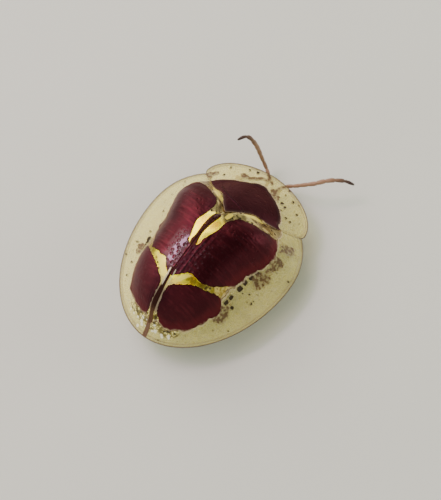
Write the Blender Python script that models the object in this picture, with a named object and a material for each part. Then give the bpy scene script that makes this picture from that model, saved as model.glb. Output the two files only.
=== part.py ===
"""A tortoise beetle at life size, standing low on six feet with both antennae out.

Lengths are in millimetres until point() turns them into metres. A place on the beetle has
three measures: fore, from the tail tip towards the head, side, towards the beetle's right,
and up, from the level of the wing cases' rim. The head looks along -Y and the back is +Z.
"""
import math

import bmesh
import bpy
from mathutils import Vector

MILLIMETRE = 0.001
RIM_LEVEL = 1.0
SEAM_HALF = 0.15
PLATE_SEAM = 0.4

# Outline of the wing cases, two superellipse quarters that meet where they are widest
CASE_WIDEST = 4.42
CASE_HALF_WIDTH = 3.23
CASE_FRONT_REACH = 2.955
CASE_REAR_POWER = 1.95
CASE_FRONT_POWER = 2.34
SHOULDER = (6.30, 2.56)
SHOULDER_TURN = (6.33, 2.40)
SCUTELLUM_NOTCH = ((5.15, 0.48), (4.85, 0.36), (4.40, SEAM_HALF))
TAIL_FORE = 0.02
REAR_STEPS = 15
REAR_SKIP = 1.4
FRONT_STEPS = 5
SHOULDER_BEND = 0.1
SHARED_EDGE = slice(1, -3)
SHOULDER_SIDE = 1.7
SHOULDER_SEAM = 0.24

# Dome of the wing cases in polar form about its crown: degrees from ahead, millimetres
CROWN_FORE = 3.9
CROWN_HEIGHT = 2.42
DOME_SHARES = (0.4, 0.6)
DOME_POWERS = (2, 6)
CREASE = 0.12
DISC_RADIUS = ((0, 2.5), (30, 2.35), (48, 2.65), (60, 2.62), (75, 2.25), (90, 2.02),
               (105, 2.04), (120, 2.24), (135, 2.66), (150, 3.06), (165, 3.4), (180, 3.6))
DISC_EDGE_HEIGHT = ((0, 1.2), (30, 1.1), (48, 0.98), (60, 0.88), (90, 0.88), (120, 0.68),
                    (150, 0.5), (180, 0.27))
MARGIN_SAG = 1.15
CASE_THICKNESS = 0.45
RIM_THICKNESS = 0.2

# Pronotum: an elliptic front, a hind edge that runs back to a middle lobe, and a low dome
PRONOTUM_TIP = 8.0
PRONOTUM_CORNER = (6.68, 2.37)
PRONOTUM_POWER = 1.87
PRONOTUM_HIND = ((6.52, 2.24), (6.42, 1.95), (6.33, 1.6), (6.22, 1.25), (6.05, 0.95),
                 (5.85, 0.68), (5.65, 0.45), (5.43, 0.24), (5.25, 0.09), (5.17, 0.0))
PRONOTUM_CENTRE = 6.35
SHIELD_STEPS = 12
SHIELD_CENTRE = 5.0
SHIELD_FORE_REACH = 2.27
SHIELD_SIDE_REACH = 1.82
SHIELD_HEIGHT = 2.0
SHIELD_FRONT_EDGE = 0.25
SHIELD_SIDE_EDGE = 0.6
SHIELD_POWER = 1.6
SHIELD_SPREAD = 1.12

# A plate is laid out in rows from its centre, and grows thinner from this share outwards
PLATE_ROWS = 12
THIN_FROM = 0.55
NORMAL_STEP = 0.04

# Body sections as (fore, half width, top, belly), all measured from the rim level
BELLY = -0.05
ABDOMEN_SECTIONS = ((0.95, 0.35, 0.35, 0.0), (1.15, 0.8, 0.65, BELLY), (1.6, 1.15, 1.0, BELLY),
                    (2.1, 1.38, 1.18, BELLY), (2.6, 1.48, 1.3, BELLY), (3.0, 1.5, 1.36, BELLY),
                    (3.15, 1.4, 1.25, 0.0))
VENTRITE_JOINTS = (1.35, 1.85, 2.35, 2.8)
VENTRITE_HALF_GROOVE = 0.05
VENTRITE_DEPTH = 0.07
THORAX_SECTIONS = ((3.45, 1.4, 1.25, 0.0), (3.6, 1.5, 1.4, BELLY), (4.1, 1.55, 1.45, BELLY),
                   (4.7, 1.5, 1.25, BELLY), (5.1, 1.2, 0.9, BELLY), (5.25, 1.0, 0.7, 0.0))
PROTHORAX_SECTIONS = ((5.55, 0.85, 1.35, 0.0), (5.65, 0.95, 1.45, BELLY),
                      (6.05, 1.0, 1.2, BELLY), (6.3, 0.85, 0.95, BELLY), (6.4, 0.7, 0.8, 0.05))
SECTION_POINTS = 20
SECTION_MIDDLE = 0.15
BACK_POWER = 2.0
BELLY_POWER = 3.2

# Scutellum, a small triangle between the wing cases' bases
SCUTELLUM_TIP = 4.6
SCUTELLUM_BASE = 4.95
SCUTELLUM_HALF = 0.17
SCUTELLUM_FOOT = 1.75
SCUTELLUM_TOP = 2.25

# Head, turned down under the pronotum, with an eye on each side
HEAD_CENTRE = (6.82, 0.0, -0.27)
HEAD_RADII = (0.3, 0.45, 0.37)
MOUTH_CENTRE = (7.0, 0.0, -0.44)
MOUTH_RADII = (0.16, 0.22, 0.16)
PALP_PLACE = (7.06, 0.16, -0.48)
PALP_RADII = (0.096, 0.06, 0.06)
EYE_CENTRE = (6.82, 0.84, -0.22)
EYE_RADII = (0.22, 0.14, 0.24)

# Antennae: routes as (fore, side, up), then eleven joints that swell towards the tip
ANTENNA_LEFT = ((7.38, -0.3, -0.62), (7.7, -0.32, -0.62), (7.95, -0.38, -0.6),
                (8.11, -0.54, -0.55), (8.255, -0.76, -0.45), (8.36, -1.0, -0.1),
                (8.39, -1.13, 0.4), (8.37, -1.2, 0.8), (8.33, -1.37, 1.2), (8.2, -1.53, 1.35),
                (7.94, -1.69, 1.3))
ANTENNA_RIGHT = ((7.38, 0.3, -0.62), (7.7, 0.25, -0.62), (7.92, 0.22, -0.6),
                 (8.11, 0.36, -0.55), (8.27, 0.7, -0.35), (8.43, 1.04, -0.1),
                 (8.65, 1.37, 0.05), (8.87, 1.61, 0.15), (9.11, 1.86, 0.15),
                 (9.29, 2.09, 0.1), (9.43, 2.3, 0.0), (9.49, 2.52, -0.1))
ANTENNA_JOINTS = 11
ANTENNA_RADIUS = 0.19
ANTENNA_WAIST = 0.72
ANTENNA_TIP_SHARE = 0.45
ANTENNA_POINT_SHARE = 0.22
JOINT_PROFILE = ((0.0, ANTENNA_WAIST), (0.35, 0.9), (0.75, 1.0))

# Legs as plan points (fore, side): coxa, knee, ankle and toe
LEGS = {
    "leg_front_right": ((5.95, 0.5), (6.08, 1.25), (6.15, 1.62), (6.14, 2.3)),
    "leg_front_left": ((5.95, -0.5), (6.45, -1.4), (6.95, -1.5), (7.6, -1.35)),
    "leg_middle_right": ((4.85, 0.65), (5.42, 2.05), (4.92, 1.95), (4.24, 1.9)),
    "leg_middle_left": ((4.85, -0.65), (5.0, -1.6), (4.75, -1.9), (4.15, -1.95)),
    "leg_hind_right": ((3.85, 0.65), (3.15, 1.45), (2.95, 1.58), (2.3, 1.55)),
    "leg_hind_left": ((3.85, -0.65), (3.35, -1.6), (3.2, -2.05), (2.92, -2.72)),
}
COXA_RADIUS = 0.3
COXA_UP = -0.65
FEMUR_RADIUS = 0.26
FEMUR_UP = -0.62
KNEE_RADIUS = 0.23
KNEE_UP = -0.6
SHIN_RADIUS = 0.2
SHIN_UP = -0.65
ANKLE_RADIUS = 0.18
ANKLE_UP = -0.74
FOOT_THICKNESS = 0.36
FOOT_HALF_WIDTH = 0.21
FOOT_LOBES = 3
FOOT_STEPS = 12
FOOT_WAIST = 0.5
FOOT_SPREAD = 0.25
FOOT_ROUNDED_FROM = 0.75
FOOT_BLUNT = 0.45
FOOT_HEEL = 0.08
CLAW_RADIUS = 0.07
CLAW_LENGTH = 0.26
CLAW_SPREAD = 0.09
CLAW_SUNK = 0.3
CLAW_SPLAY = (0.5, 0.9, 1.6)
CLAW_FLOOR = (0.2, 0.19, 0.09)
CLAW_TAPER = (1.0, 0.9, 0.4)

# Edges that turn by more than this are drawn sharp
SHARP_ANGLE = math.radians(40)

# Colour, roughness and metallic of each sub-part
WING_CASE = ((0.16, 0.012, 0.018), 0.22, 0.1)
SHIELD = ((0.1, 0.012, 0.014), 0.25, 0.1)
DARK_PLATE = ((0.05, 0.025, 0.02), 0.4, 0.0)
BODY_BROWN = ((0.2, 0.1, 0.045), 0.45, 0.0)
LIMB_BROWN = ((0.36, 0.2, 0.09), 0.4, 0.0)
EYE_BLACK = ((0.015, 0.012, 0.012), 0.15, 0.0)


def point(fore, side, up):
    """Turn a place on the beetle into metres, with the tail tip at y = 0."""
    return Vector((-side, -fore, RIM_LEVEL + up)) * MILLIMETRE


def smooth_value(table, x):
    """Read a smooth curve through the table's (x, value) pairs."""
    if x <= table[0][0]:
        return table[0][1]
    if x >= table[-1][0]:
        return table[-1][1]
    right = next(i for i, pair in enumerate(table) if pair[0] >= x)
    (x0, y0), (x1, y1) = table[right - 1], table[right]
    span = x1 - x0

    def slope(i):
        before, after = table[max(i - 1, 0)], table[min(i + 1, len(table) - 1)]
        return (after[1] - before[1]) / (after[0] - before[0])

    t = (x - x0) / span
    blend = t * t * (3 - 2 * t)
    ease_out = t * (1 - t) * (1 - t)
    ease_in = t * t * (t - 1)
    lean = span * (ease_out * slope(right - 1) + ease_in * slope(right))
    return y0 + (y1 - y0) * blend + lean


def smooth_route(points, steps):
    """Sample a Catmull-Rom curve through the points, steps to a span."""
    route = []
    last = len(points) - 1
    for i in range(last):
        a = Vector(points[max(i - 1, 0)])
        b = Vector(points[i])
        c = Vector(points[i + 1])
        d = Vector(points[min(i + 2, last)])
        for step in range(steps):
            t = step / steps
            route.append(0.5 * (2 * b + (c - a) * t + (2 * a - 5 * b + 4 * c - d) * t * t
                                + (3 * b - 3 * c + d - a) * t ** 3))
    route.append(Vector(points[last]))
    return route


def case_half_width(fore):
    """Half width of the wing cases' outline at a distance from the tail."""
    if fore < CASE_WIDEST:
        share = (CASE_WIDEST - fore) / CASE_WIDEST
        return CASE_HALF_WIDTH * max(1 - share ** CASE_REAR_POWER, 0) ** (1 / CASE_REAR_POWER)
    share = (fore - CASE_WIDEST) / CASE_FRONT_REACH
    return CASE_HALF_WIDTH * math.sqrt(max(1 - share ** CASE_FRONT_POWER, 0))


def case_rim_radius(angle):
    """Distance from the crown to the wing cases' outline along an angle in degrees."""
    inside, outside = 0.0, 6.0
    for _ in range(30):
        middle = (inside + outside) / 2
        fore = CROWN_FORE + middle * math.cos(math.radians(angle))
        if middle * math.sin(math.radians(angle)) < case_half_width(max(fore, 0.0)) and fore > 0:
            inside = middle
        else:
            outside = middle
    return inside


def joined_height(dome, margin):
    """The greater of two heights, with the crease between them rounded."""
    return (dome + margin + math.sqrt((dome - margin) ** 2 + CREASE ** 2) - CREASE) / 2


def case_height(fore, side):
    """Height of the wing cases over their rim, on the disc and on the spread margin."""
    radius = math.hypot(fore - CROWN_FORE, side)
    angle = math.degrees(math.atan2(abs(side), fore - CROWN_FORE))
    disc = smooth_value(DISC_RADIUS, angle)
    edge = smooth_value(DISC_EDGE_HEIGHT, angle)
    fall = sum(part * (radius / disc) ** power
               for part, power in zip(DOME_SHARES, DOME_POWERS))
    dome = edge + (CROWN_HEIGHT - edge) * (1 - fall)
    out = max(radius - disc, 0) / (case_rim_radius(angle) - disc)
    return joined_height(dome, edge * max(1 - out, 0) ** MARGIN_SAG)


def shield_share(fore, side):
    """How far out on the pronotum's disc a place lies, 1 being the disc's edge."""
    return math.hypot((fore - SHIELD_CENTRE) / SHIELD_FORE_REACH, side / SHIELD_SIDE_REACH)


def pronotum_half_width(fore):
    """Half width of the pronotum's elliptic front."""
    corner_fore, corner_side = PRONOTUM_CORNER
    share = max(fore - corner_fore, 0) / (PRONOTUM_TIP - corner_fore)
    return corner_side * max(1 - share ** PRONOTUM_POWER, 0) ** (1 / PRONOTUM_POWER)


def pronotum_height(fore, side):
    """Height of the pronotum over the rim level."""
    share = shield_share(fore, side)
    ahead = max(fore - SHIELD_CENTRE, 0) / max(share * SHIELD_FORE_REACH, 0.001)
    edge = SHIELD_SIDE_EDGE + (SHIELD_FRONT_EDGE - SHIELD_SIDE_EDGE) * min(ahead, 1) ** 4
    dome = edge + (SHIELD_HEIGHT - edge) * (1 - share ** SHIELD_POWER)
    fall_forward = (PRONOTUM_TIP - SHIELD_CENTRE) / SHIELD_FORE_REACH - 1
    fall_sideways = PRONOTUM_CORNER[1] * SHIELD_SPREAD / SHIELD_SIDE_REACH - 1
    fall = fall_sideways + (fall_forward - fall_sideways) * min(ahead, 1) ** 4
    out = max(share - 1, 0) / fall
    return joined_height(dome, edge * max(1 - out, 0))


def surface_normal(height, fore, side):
    """Unit normal of a height function, as (fore, side, up)."""
    step = NORMAL_STEP
    lean_fore = (height(fore + step, side) - height(fore - step, side)) / (2 * step)
    lean_side = (height(fore, side + step) - height(fore, side - step)) / (2 * step)
    return Vector((-lean_fore, -lean_side, 1)).normalized()


def plate_columns(outline, centre, height):
    """Rows of (outer, inner) places along rays from a plate's centre to its outline."""
    columns = []
    for fore, side in outline:
        column = []
        for row in range(1, PLATE_ROWS + 1):
            share = row / PLATE_ROWS
            thinned = max(share - THIN_FROM, 0) / (1 - THIN_FROM)
            thickness = CASE_THICKNESS + (RIM_THICKNESS - CASE_THICKNESS) * thinned
            here_fore = centre[0] + (fore - centre[0]) * share
            here_side = centre[1] + (side - centre[1]) * share
            outer = Vector((here_fore, here_side, height(here_fore, here_side)))
            inner = outer - thickness * surface_normal(height, here_fore, here_side)
            column.append((outer, inner))
        columns.append(column)
    return columns


def plate_mesh(name, columns, centre, height, closed, mirror=1):
    """A closed shell from the columns, with its centre as one outer and one inner vertex."""
    mesh = bpy.data.meshes.new(name)
    bm = bmesh.new()

    def vertex(place):
        return bm.verts.new(point(place.x, mirror * place.y, place.z))

    top = Vector((centre[0], centre[1], height(*centre)))
    middle = (vertex(top), vertex(top - Vector((0, 0, CASE_THICKNESS))))
    grid = [[(vertex(outer), vertex(inner)) for outer, inner in column] for column in columns]
    pairs = list(zip(grid, grid[1:]))
    if closed:
        pairs.append((grid[-1], grid[0]))
    for here, there in pairs:
        for skin in (0, 1):
            bm.faces.new((middle[skin], here[0][skin], there[0][skin]))
            for near, far in zip(range(len(here) - 1), range(1, len(here))):
                first, second = here[near][skin], there[near][skin]
                third, fourth = there[far][skin], here[far][skin]
                bm.faces.new((first, second, third))
                bm.faces.new((first, third, fourth))
        bm.faces.new((here[-1][0], there[-1][0], there[-1][1], here[-1][1]))
    if not closed:
        for column in (grid[0], grid[-1]):
            wall = [middle] + column
            for near, far in zip(wall, wall[1:]):
                bm.faces.new((near[0], far[0], far[1], near[1]))
    bmesh.ops.recalc_face_normals(bm, faces=bm.faces)
    bm.to_mesh(mesh)
    bm.free()
    return mesh


def loft_mesh(name, sections):
    """A closed body through rings of places, with a fan at each end."""
    mesh = bpy.data.meshes.new(name)
    bm = bmesh.new()
    rings = [[bm.verts.new(point(*place)) for place in ring] for ring in sections]
    count = len(rings[0])
    for near, far in zip(rings, rings[1:]):
        for i in range(count):
            after = (i + 1) % count
            bm.faces.new((near[i], near[after], far[after], far[i]))
    for ring in (rings[0], rings[-1]):
        heart = bm.verts.new(sum((v.co for v in ring), Vector()) / count)
        for i in range(count):
            bm.faces.new((heart, ring[i], ring[(i + 1) % count]))
    bmesh.ops.recalc_face_normals(bm, faces=bm.faces)
    bm.to_mesh(mesh)
    bm.free()
    return mesh


def body_ring(fore, half_width, top, belly):
    """One cross-section of the body: a round back over a flatter belly."""
    ring = []
    for i in range(SECTION_POINTS):
        turn = 2 * math.pi * i / SECTION_POINTS
        power = BACK_POWER if math.sin(turn) >= 0 else BELLY_POWER
        reach = abs(math.cos(turn)) ** (2 / power) * math.copysign(1, math.cos(turn))
        lift = abs(math.sin(turn)) ** (2 / power)
        up = SECTION_MIDDLE + lift * ((top - SECTION_MIDDLE) if math.sin(turn) >= 0
                                      else (belly - SECTION_MIDDLE))
        ring.append((fore, half_width * reach, up))
    return ring


def section_at(sections, fore):
    """Half width, top and belly read between the named sections."""
    values = []
    for column in (1, 2, 3):
        table = [(section[0], section[column]) for section in sections]
        values.append(smooth_value(table, fore))
    return values


def make_object(name, mesh, finish, collection):
    """Add a mesh as the named sub-part with its own material."""
    colour, roughness, metallic = finish
    material = bpy.data.materials.new(name)
    material.use_nodes = True
    shader = material.node_tree.nodes["Principled BSDF"]
    shader.inputs["Base Color"].default_value = (*colour, 1)
    shader.inputs["Roughness"].default_value = roughness
    shader.inputs["Metallic"].default_value = metallic
    mesh.materials.clear()
    mesh.materials.append(material)
    mesh.shade_smooth()
    mesh.set_sharp_from_angle(angle=SHARP_ANGLE)
    part = bpy.data.objects.new(name, mesh)
    collection.objects.link(part)
    return part


def tube_mesh(name, route, radii, rounds):
    """A tube with a radius at each point, as a welded mesh."""
    curve = bpy.data.curves.new(name, "CURVE")
    curve.dimensions = "3D"
    curve.bevel_depth = MILLIMETRE
    curve.bevel_resolution = rounds
    curve.use_fill_caps = True
    spline = curve.splines.new("POLY")
    spline.points.add(len(route) - 1)
    for knot, place, radius in zip(spline.points, route, radii):
        knot.co = (*point(*place), 1)
        knot.radius = radius
    return welded_mesh(name, curve)


def welded_mesh(name, curve):
    """The curve's mesh with its caps welded on."""
    holder = bpy.data.objects.new(name + "_curve", curve)
    bpy.context.scene.collection.objects.link(holder)
    graph = bpy.context.evaluated_depsgraph_get()
    mesh = bpy.data.meshes.new_from_object(holder.evaluated_get(graph))
    bpy.data.objects.remove(holder)
    bpy.data.curves.remove(curve)
    bm = bmesh.new()
    bm.from_mesh(mesh)
    bmesh.ops.remove_doubles(bm, verts=bm.verts, dist=0.000001)
    bmesh.ops.recalc_face_normals(bm, faces=bm.faces)
    bm.to_mesh(mesh)
    bm.free()
    return mesh


def ball_mesh(name, centre, radii, segments=16, rings=10):
    """An ellipsoid with its radii along fore, side and up."""
    mesh = bpy.data.meshes.new(name)
    bm = bmesh.new()
    bmesh.ops.create_uvsphere(bm, u_segments=segments, v_segments=rings, radius=1)
    stretch = (radii[1] * MILLIMETRE, radii[0] * MILLIMETRE, radii[2] * MILLIMETRE)
    bmesh.ops.scale(bm, vec=stretch, verts=bm.verts)
    bmesh.ops.translate(bm, vec=point(*centre), verts=bm.verts)
    bm.to_mesh(mesh)
    bm.free()
    return mesh


def largest_surface(mesh):
    """Keep only the closed surface with the greatest extent."""
    bm = bmesh.new()
    bm.from_mesh(mesh)
    unseen = set(bm.verts)
    groups = []
    while unseen:
        front = [unseen.pop()]
        group = set(front)
        while front:
            for edge in front.pop().link_edges:
                for other in edge.verts:
                    if other in unseen:
                        unseen.discard(other)
                        group.add(other)
                        front.append(other)
        groups.append(group)
    groups.sort(key=len)
    scraps = [v for group in groups[:-1] for v in group]
    bmesh.ops.delete(bm, geom=scraps, context="VERTS")
    bm.to_mesh(mesh)
    bm.free()


def fused_mesh(name, meshes):
    """One closed mesh from overlapping closed meshes, by a union on a collection."""
    pieces = bpy.data.collections.new(name + "_pieces")
    bpy.context.scene.collection.children.link(pieces)
    for index, mesh in enumerate(meshes[1:]):
        pieces.objects.link(bpy.data.objects.new(f"{name}_piece_{index}", mesh))
    base = bpy.data.objects.new(name + "_base", meshes[0])
    bpy.context.scene.collection.objects.link(base)
    union = base.modifiers.new("union", "BOOLEAN")
    union.operation = "UNION"
    union.operand_type = "COLLECTION"
    union.collection = pieces
    union.solver = "EXACT"
    graph = bpy.context.evaluated_depsgraph_get()
    mesh = bpy.data.meshes.new_from_object(base.evaluated_get(graph))
    for piece in list(pieces.objects):
        bpy.data.objects.remove(piece)
    bpy.data.collections.remove(pieces)
    bpy.data.objects.remove(base)
    largest_surface(mesh)
    return mesh


def elytron_outline():
    """Plan outline of the right wing case from the tail round to the scutellum."""
    outline = [(TAIL_FORE, SEAM_HALF)]
    for i in range(1, REAR_STEPS + 1):
        turn = math.pi / 2 * (i + REAR_SKIP) / (REAR_STEPS + REAR_SKIP)
        fore = CASE_WIDEST * (1 - math.cos(turn))
        outline.append((fore, case_half_width(fore)))
    for i in range(1, FRONT_STEPS + 1):
        run = SHOULDER[0] - SHOULDER_BEND - CASE_WIDEST
        fore = CASE_WIDEST + run * i / FRONT_STEPS
        outline.append((fore, case_half_width(fore)))
    outline += [SHOULDER, SHOULDER_TURN]
    for fore, side in PRONOTUM_HIND[SHARED_EDGE]:
        seam = SHOULDER_SEAM if side > SHOULDER_SIDE else PLATE_SEAM
        outline.append((fore - seam, side))
    return outline + list(SCUTELLUM_NOTCH)


def add_elytra(collection):
    """Both wing cases, each a curved shell with a straight inner edge."""
    centre = (CROWN_FORE, SEAM_HALF)
    columns = plate_columns(elytron_outline(), centre, case_height)
    for column in columns:
        for _, inner in column:
            inner.y = max(inner.y, SEAM_HALF)
    for name, mirror in (("elytron_right", 1), ("elytron_left", -1)):
        mesh = plate_mesh(name, columns, centre, case_height, False, mirror)
        make_object(name, mesh, WING_CASE, collection)


def pronotum_outline():
    """Plan outline of the whole pronotum, from its hind lobe round by the right side."""
    right = list(reversed(PRONOTUM_HIND))
    corner_fore = PRONOTUM_CORNER[0]
    for i in range(SHIELD_STEPS):
        turn = math.pi / 2 * i / SHIELD_STEPS
        fore = corner_fore + (PRONOTUM_TIP - corner_fore) * math.sin(turn)
        right.append((fore, pronotum_half_width(fore)))
    right.append((PRONOTUM_TIP, 0.0))
    left = [(fore, -side) for fore, side in reversed(right[1:-1])]
    return right + left


def add_pronotum(collection):
    """The shield over the head, with the first segment of the body fused under it."""
    centre = (PRONOTUM_CENTRE, 0.0)
    columns = plate_columns(pronotum_outline(), centre, pronotum_height)
    shield = plate_mesh("pronotum", columns, centre, pronotum_height, True)
    rings = [body_ring(*section) for section in PROTHORAX_SECTIONS]
    body = loft_mesh("prothorax", rings)
    make_object("pronotum", fused_mesh("pronotum", [shield, body]), SHIELD, collection)


def add_trunk(collection):
    """Abdomen with its ventrites, and the two hind segments of the thorax."""
    fores = {section[0] for section in ABDOMEN_SECTIONS}
    for joint in VENTRITE_JOINTS:
        fores.update((joint - VENTRITE_HALF_GROOVE, joint, joint + VENTRITE_HALF_GROOVE))
    rings = []
    for fore in sorted(fores):
        half_width, top, belly = section_at(ABDOMEN_SECTIONS, fore)
        if fore in VENTRITE_JOINTS:
            belly += VENTRITE_DEPTH
        rings.append(body_ring(fore, half_width, top, belly))
    make_object("abdomen", loft_mesh("abdomen", rings), BODY_BROWN, collection)
    rings = [body_ring(*section) for section in THORAX_SECTIONS]
    make_object("thorax", loft_mesh("thorax", rings), BODY_BROWN, collection)


def add_scutellum(collection):
    """The small triangular plate between the wing cases' bases."""
    corners = ((SCUTELLUM_TIP, 0.0), (SCUTELLUM_BASE, SCUTELLUM_HALF),
               (SCUTELLUM_BASE, -SCUTELLUM_HALF))
    rings = [[(fore, side, up) for fore, side in corners]
             for up in (SCUTELLUM_FOOT, SCUTELLUM_TOP)]
    make_object("scutellum", loft_mesh("scutellum", rings), DARK_PLATE, collection)


def add_head(collection):
    """Head with its mouthparts, and an eye at each side."""
    pieces = [ball_mesh("head", HEAD_CENTRE, HEAD_RADII),
              ball_mesh("mouth", MOUTH_CENTRE, MOUTH_RADII, 12, 8)]
    for sign in (-1, 1):
        palp = (PALP_PLACE[0], sign * PALP_PLACE[1], PALP_PLACE[2])
        pieces.append(ball_mesh("palp", palp, PALP_RADII, 8, 6))
    make_object("head", fused_mesh("head", pieces), BODY_BROWN, collection)
    for name, sign in (("eye_right", 1), ("eye_left", -1)):
        centre = (EYE_CENTRE[0], sign * EYE_CENTRE[1], EYE_CENTRE[2])
        make_object(name, ball_mesh(name, centre, EYE_RADII, 12, 8), EYE_BLACK, collection)


def add_antenna(name, route, collection):
    """One antenna of eleven joints along its route."""
    path = smooth_route(route, 8)
    lengths = [0.0]
    for here, there in zip(path, path[1:]):
        lengths.append(lengths[-1] + (there - here).length)
    total = lengths[-1]

    def place_at(distance):
        i = next(k for k in range(1, len(path)) if lengths[k] >= distance - 1e-9)
        share = (distance - lengths[i - 1]) / (lengths[i] - lengths[i - 1])
        return path[i - 1].lerp(path[i], share)

    knots = []
    radii = []
    for joint in range(ANTENNA_JOINTS):
        last = joint == ANTENNA_JOINTS - 1
        for share, swell in JOINT_PROFILE:
            along = (joint + share) / ANTENNA_JOINTS
            taper = 1.0 if not last else 1 - (1 - ANTENNA_TIP_SHARE) * share
            knots.append(place_at(along * total))
            radii.append(ANTENNA_RADIUS * swell * taper)
    knots.append(path[-1])
    radii.append(ANTENNA_RADIUS * ANTENNA_POINT_SHARE)
    make_object(name, tube_mesh(name, knots, radii, 2), LIMB_BROWN, collection)


def foot_mesh(name, ankle, toe):
    """A flat foot of widening lobes from ankle to toe, standing on the floor."""
    start = Vector(ankle)
    run = Vector(toe) - start
    across = Vector((-run.y, run.x)).normalized()
    edge = []
    for i in range(FOOT_STEPS + 1):
        share = i / FOOT_STEPS
        lobe = abs(math.sin(math.pi * FOOT_LOBES * share))
        half = FOOT_HALF_WIDTH * (FOOT_WAIST + FOOT_SPREAD * (share + lobe))
        rounded = max(share - FOOT_ROUNDED_FROM, 0) / (1 - FOOT_ROUNDED_FROM)
        half *= 1 - (1 - FOOT_BLUNT) * rounded ** 2
        edge.append((start + run * share, half))
    outline = [place + across * half for place, half in edge]
    outline += [place - across * half for place, half in reversed(edge)]
    rings = [[(p.x, p.y, up - RIM_LEVEL) for p in outline] for up in (0.0, FOOT_THICKNESS)]
    return loft_mesh(name, rings)


def claw_mesh(name, toe, heading, sign):
    """A small claw that leaves the toe and turns down to the floor."""
    across = Vector((-heading.y, heading.x)) * sign * CLAW_SPREAD
    places = []
    for i, (splay, lift) in enumerate(zip(CLAW_SPLAY, CLAW_FLOOR)):
        along = i / (len(CLAW_SPLAY) - 1) - CLAW_SUNK
        spot = Vector(toe) + heading * CLAW_LENGTH * along + across * splay
        places.append((*spot, lift - RIM_LEVEL))
    return tube_mesh(name, places, [CLAW_RADIUS * taper for taper in CLAW_TAPER], 1)


def add_leg(name, plan, collection):
    """One leg: coxa, thigh, shin, lobed foot and two claws."""
    coxa, knee, ankle, toe = (Vector(place) for place in plan)
    thigh = ((*coxa, FEMUR_UP), (*coxa.lerp(knee, 0.5), FEMUR_UP), (*knee, KNEE_UP))
    shin = ((*knee, KNEE_UP), (*knee.lerp(ankle, 0.5), SHIN_UP), (*ankle, ANKLE_UP))
    heading = (toe - ankle).normalized()
    pieces = [
        tube_mesh(name, thigh, (KNEE_RADIUS, FEMUR_RADIUS, KNEE_RADIUS), 2),
        ball_mesh("coxa", (*coxa, COXA_UP), (COXA_RADIUS, COXA_RADIUS, COXA_RADIUS), 12, 8),
        ball_mesh("knee", (*knee, KNEE_UP), (KNEE_RADIUS, KNEE_RADIUS, KNEE_RADIUS), 10, 8),
        tube_mesh("shin", shin, (SHIN_RADIUS, SHIN_RADIUS, ANKLE_RADIUS), 2),
        foot_mesh("foot", ankle - heading * FOOT_HEEL, toe),
        claw_mesh("claw", toe, heading, 1),
        claw_mesh("claw", toe, heading, -1),
    ]
    make_object(name, fused_mesh(name, pieces), LIMB_BROWN, collection)


def centre_on_origin(collection):
    """Put the whole beetle's box over the origin by one parent empty."""
    corners = [v.co for part in collection.objects for v in part.data.vertices]
    middle_x = (min(c.x for c in corners) + max(c.x for c in corners)) / 2
    middle_y = (min(c.y for c in corners) + max(c.y for c in corners)) / 2
    parent = bpy.data.objects.new("beetle_place", None)
    bpy.context.scene.collection.objects.link(parent)
    parent.location = (-middle_x, -middle_y, 0)
    for part in collection.objects:
        part.parent = parent


def main():
    for item in list(bpy.data.objects):
        bpy.data.objects.remove(item)
    beetle = bpy.data.collections.new("tortoise_beetle")
    bpy.context.scene.collection.children.link(beetle)
    add_elytra(beetle)
    add_pronotum(beetle)
    add_trunk(beetle)
    add_scutellum(beetle)
    add_head(beetle)
    add_antenna("antenna_left", ANTENNA_LEFT, beetle)
    add_antenna("antenna_right", ANTENNA_RIGHT, beetle)
    for name, plan in LEGS.items():
        add_leg(name, plan, beetle)
    centre_on_origin(beetle)
    bpy.context.view_layer.update()


main()
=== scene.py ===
"""The look of a tortoise beetle: clear flared margins, a dark maroon back and gold bands.

Lengths are in millimetres until spot() turns them into metres. A place on the beetle has
three measures: fore, from the tail tip towards the head, side, towards the beetle's right,
and up, from the level of the wing cases' rim.
"""
import math

import bmesh
import bpy
import numpy as np
from mathutils import Matrix, Vector


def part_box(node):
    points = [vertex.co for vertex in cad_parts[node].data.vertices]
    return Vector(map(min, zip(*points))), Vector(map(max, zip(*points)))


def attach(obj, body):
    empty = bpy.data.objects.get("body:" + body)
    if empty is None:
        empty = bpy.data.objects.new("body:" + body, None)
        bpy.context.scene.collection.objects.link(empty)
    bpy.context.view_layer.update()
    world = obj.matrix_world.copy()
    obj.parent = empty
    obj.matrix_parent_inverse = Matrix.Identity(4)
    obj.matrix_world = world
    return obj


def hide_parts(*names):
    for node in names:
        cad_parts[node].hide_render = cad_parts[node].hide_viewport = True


MILLIMETRE = 0.001
# A distance beyond the beetle, and the least width of a margin or a hole
FAR = 99.0
LEAST = 0.004
RIM_LEVEL = 1.0
TAIL_FORE = 0.02

# Camera: what it aims at, the way back to it, its upward way, its distance and its lens
CAMERA_AIM = (4.413, 0.153)
CAMERA_BACK = (-0.3286, 0.2530, 0.9100)
CAMERA_UP = (0.5385, -0.7413, 0.4006)
CAMERA_DISTANCE = 101.5
CAMERA_LENS = 195.12

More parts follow.
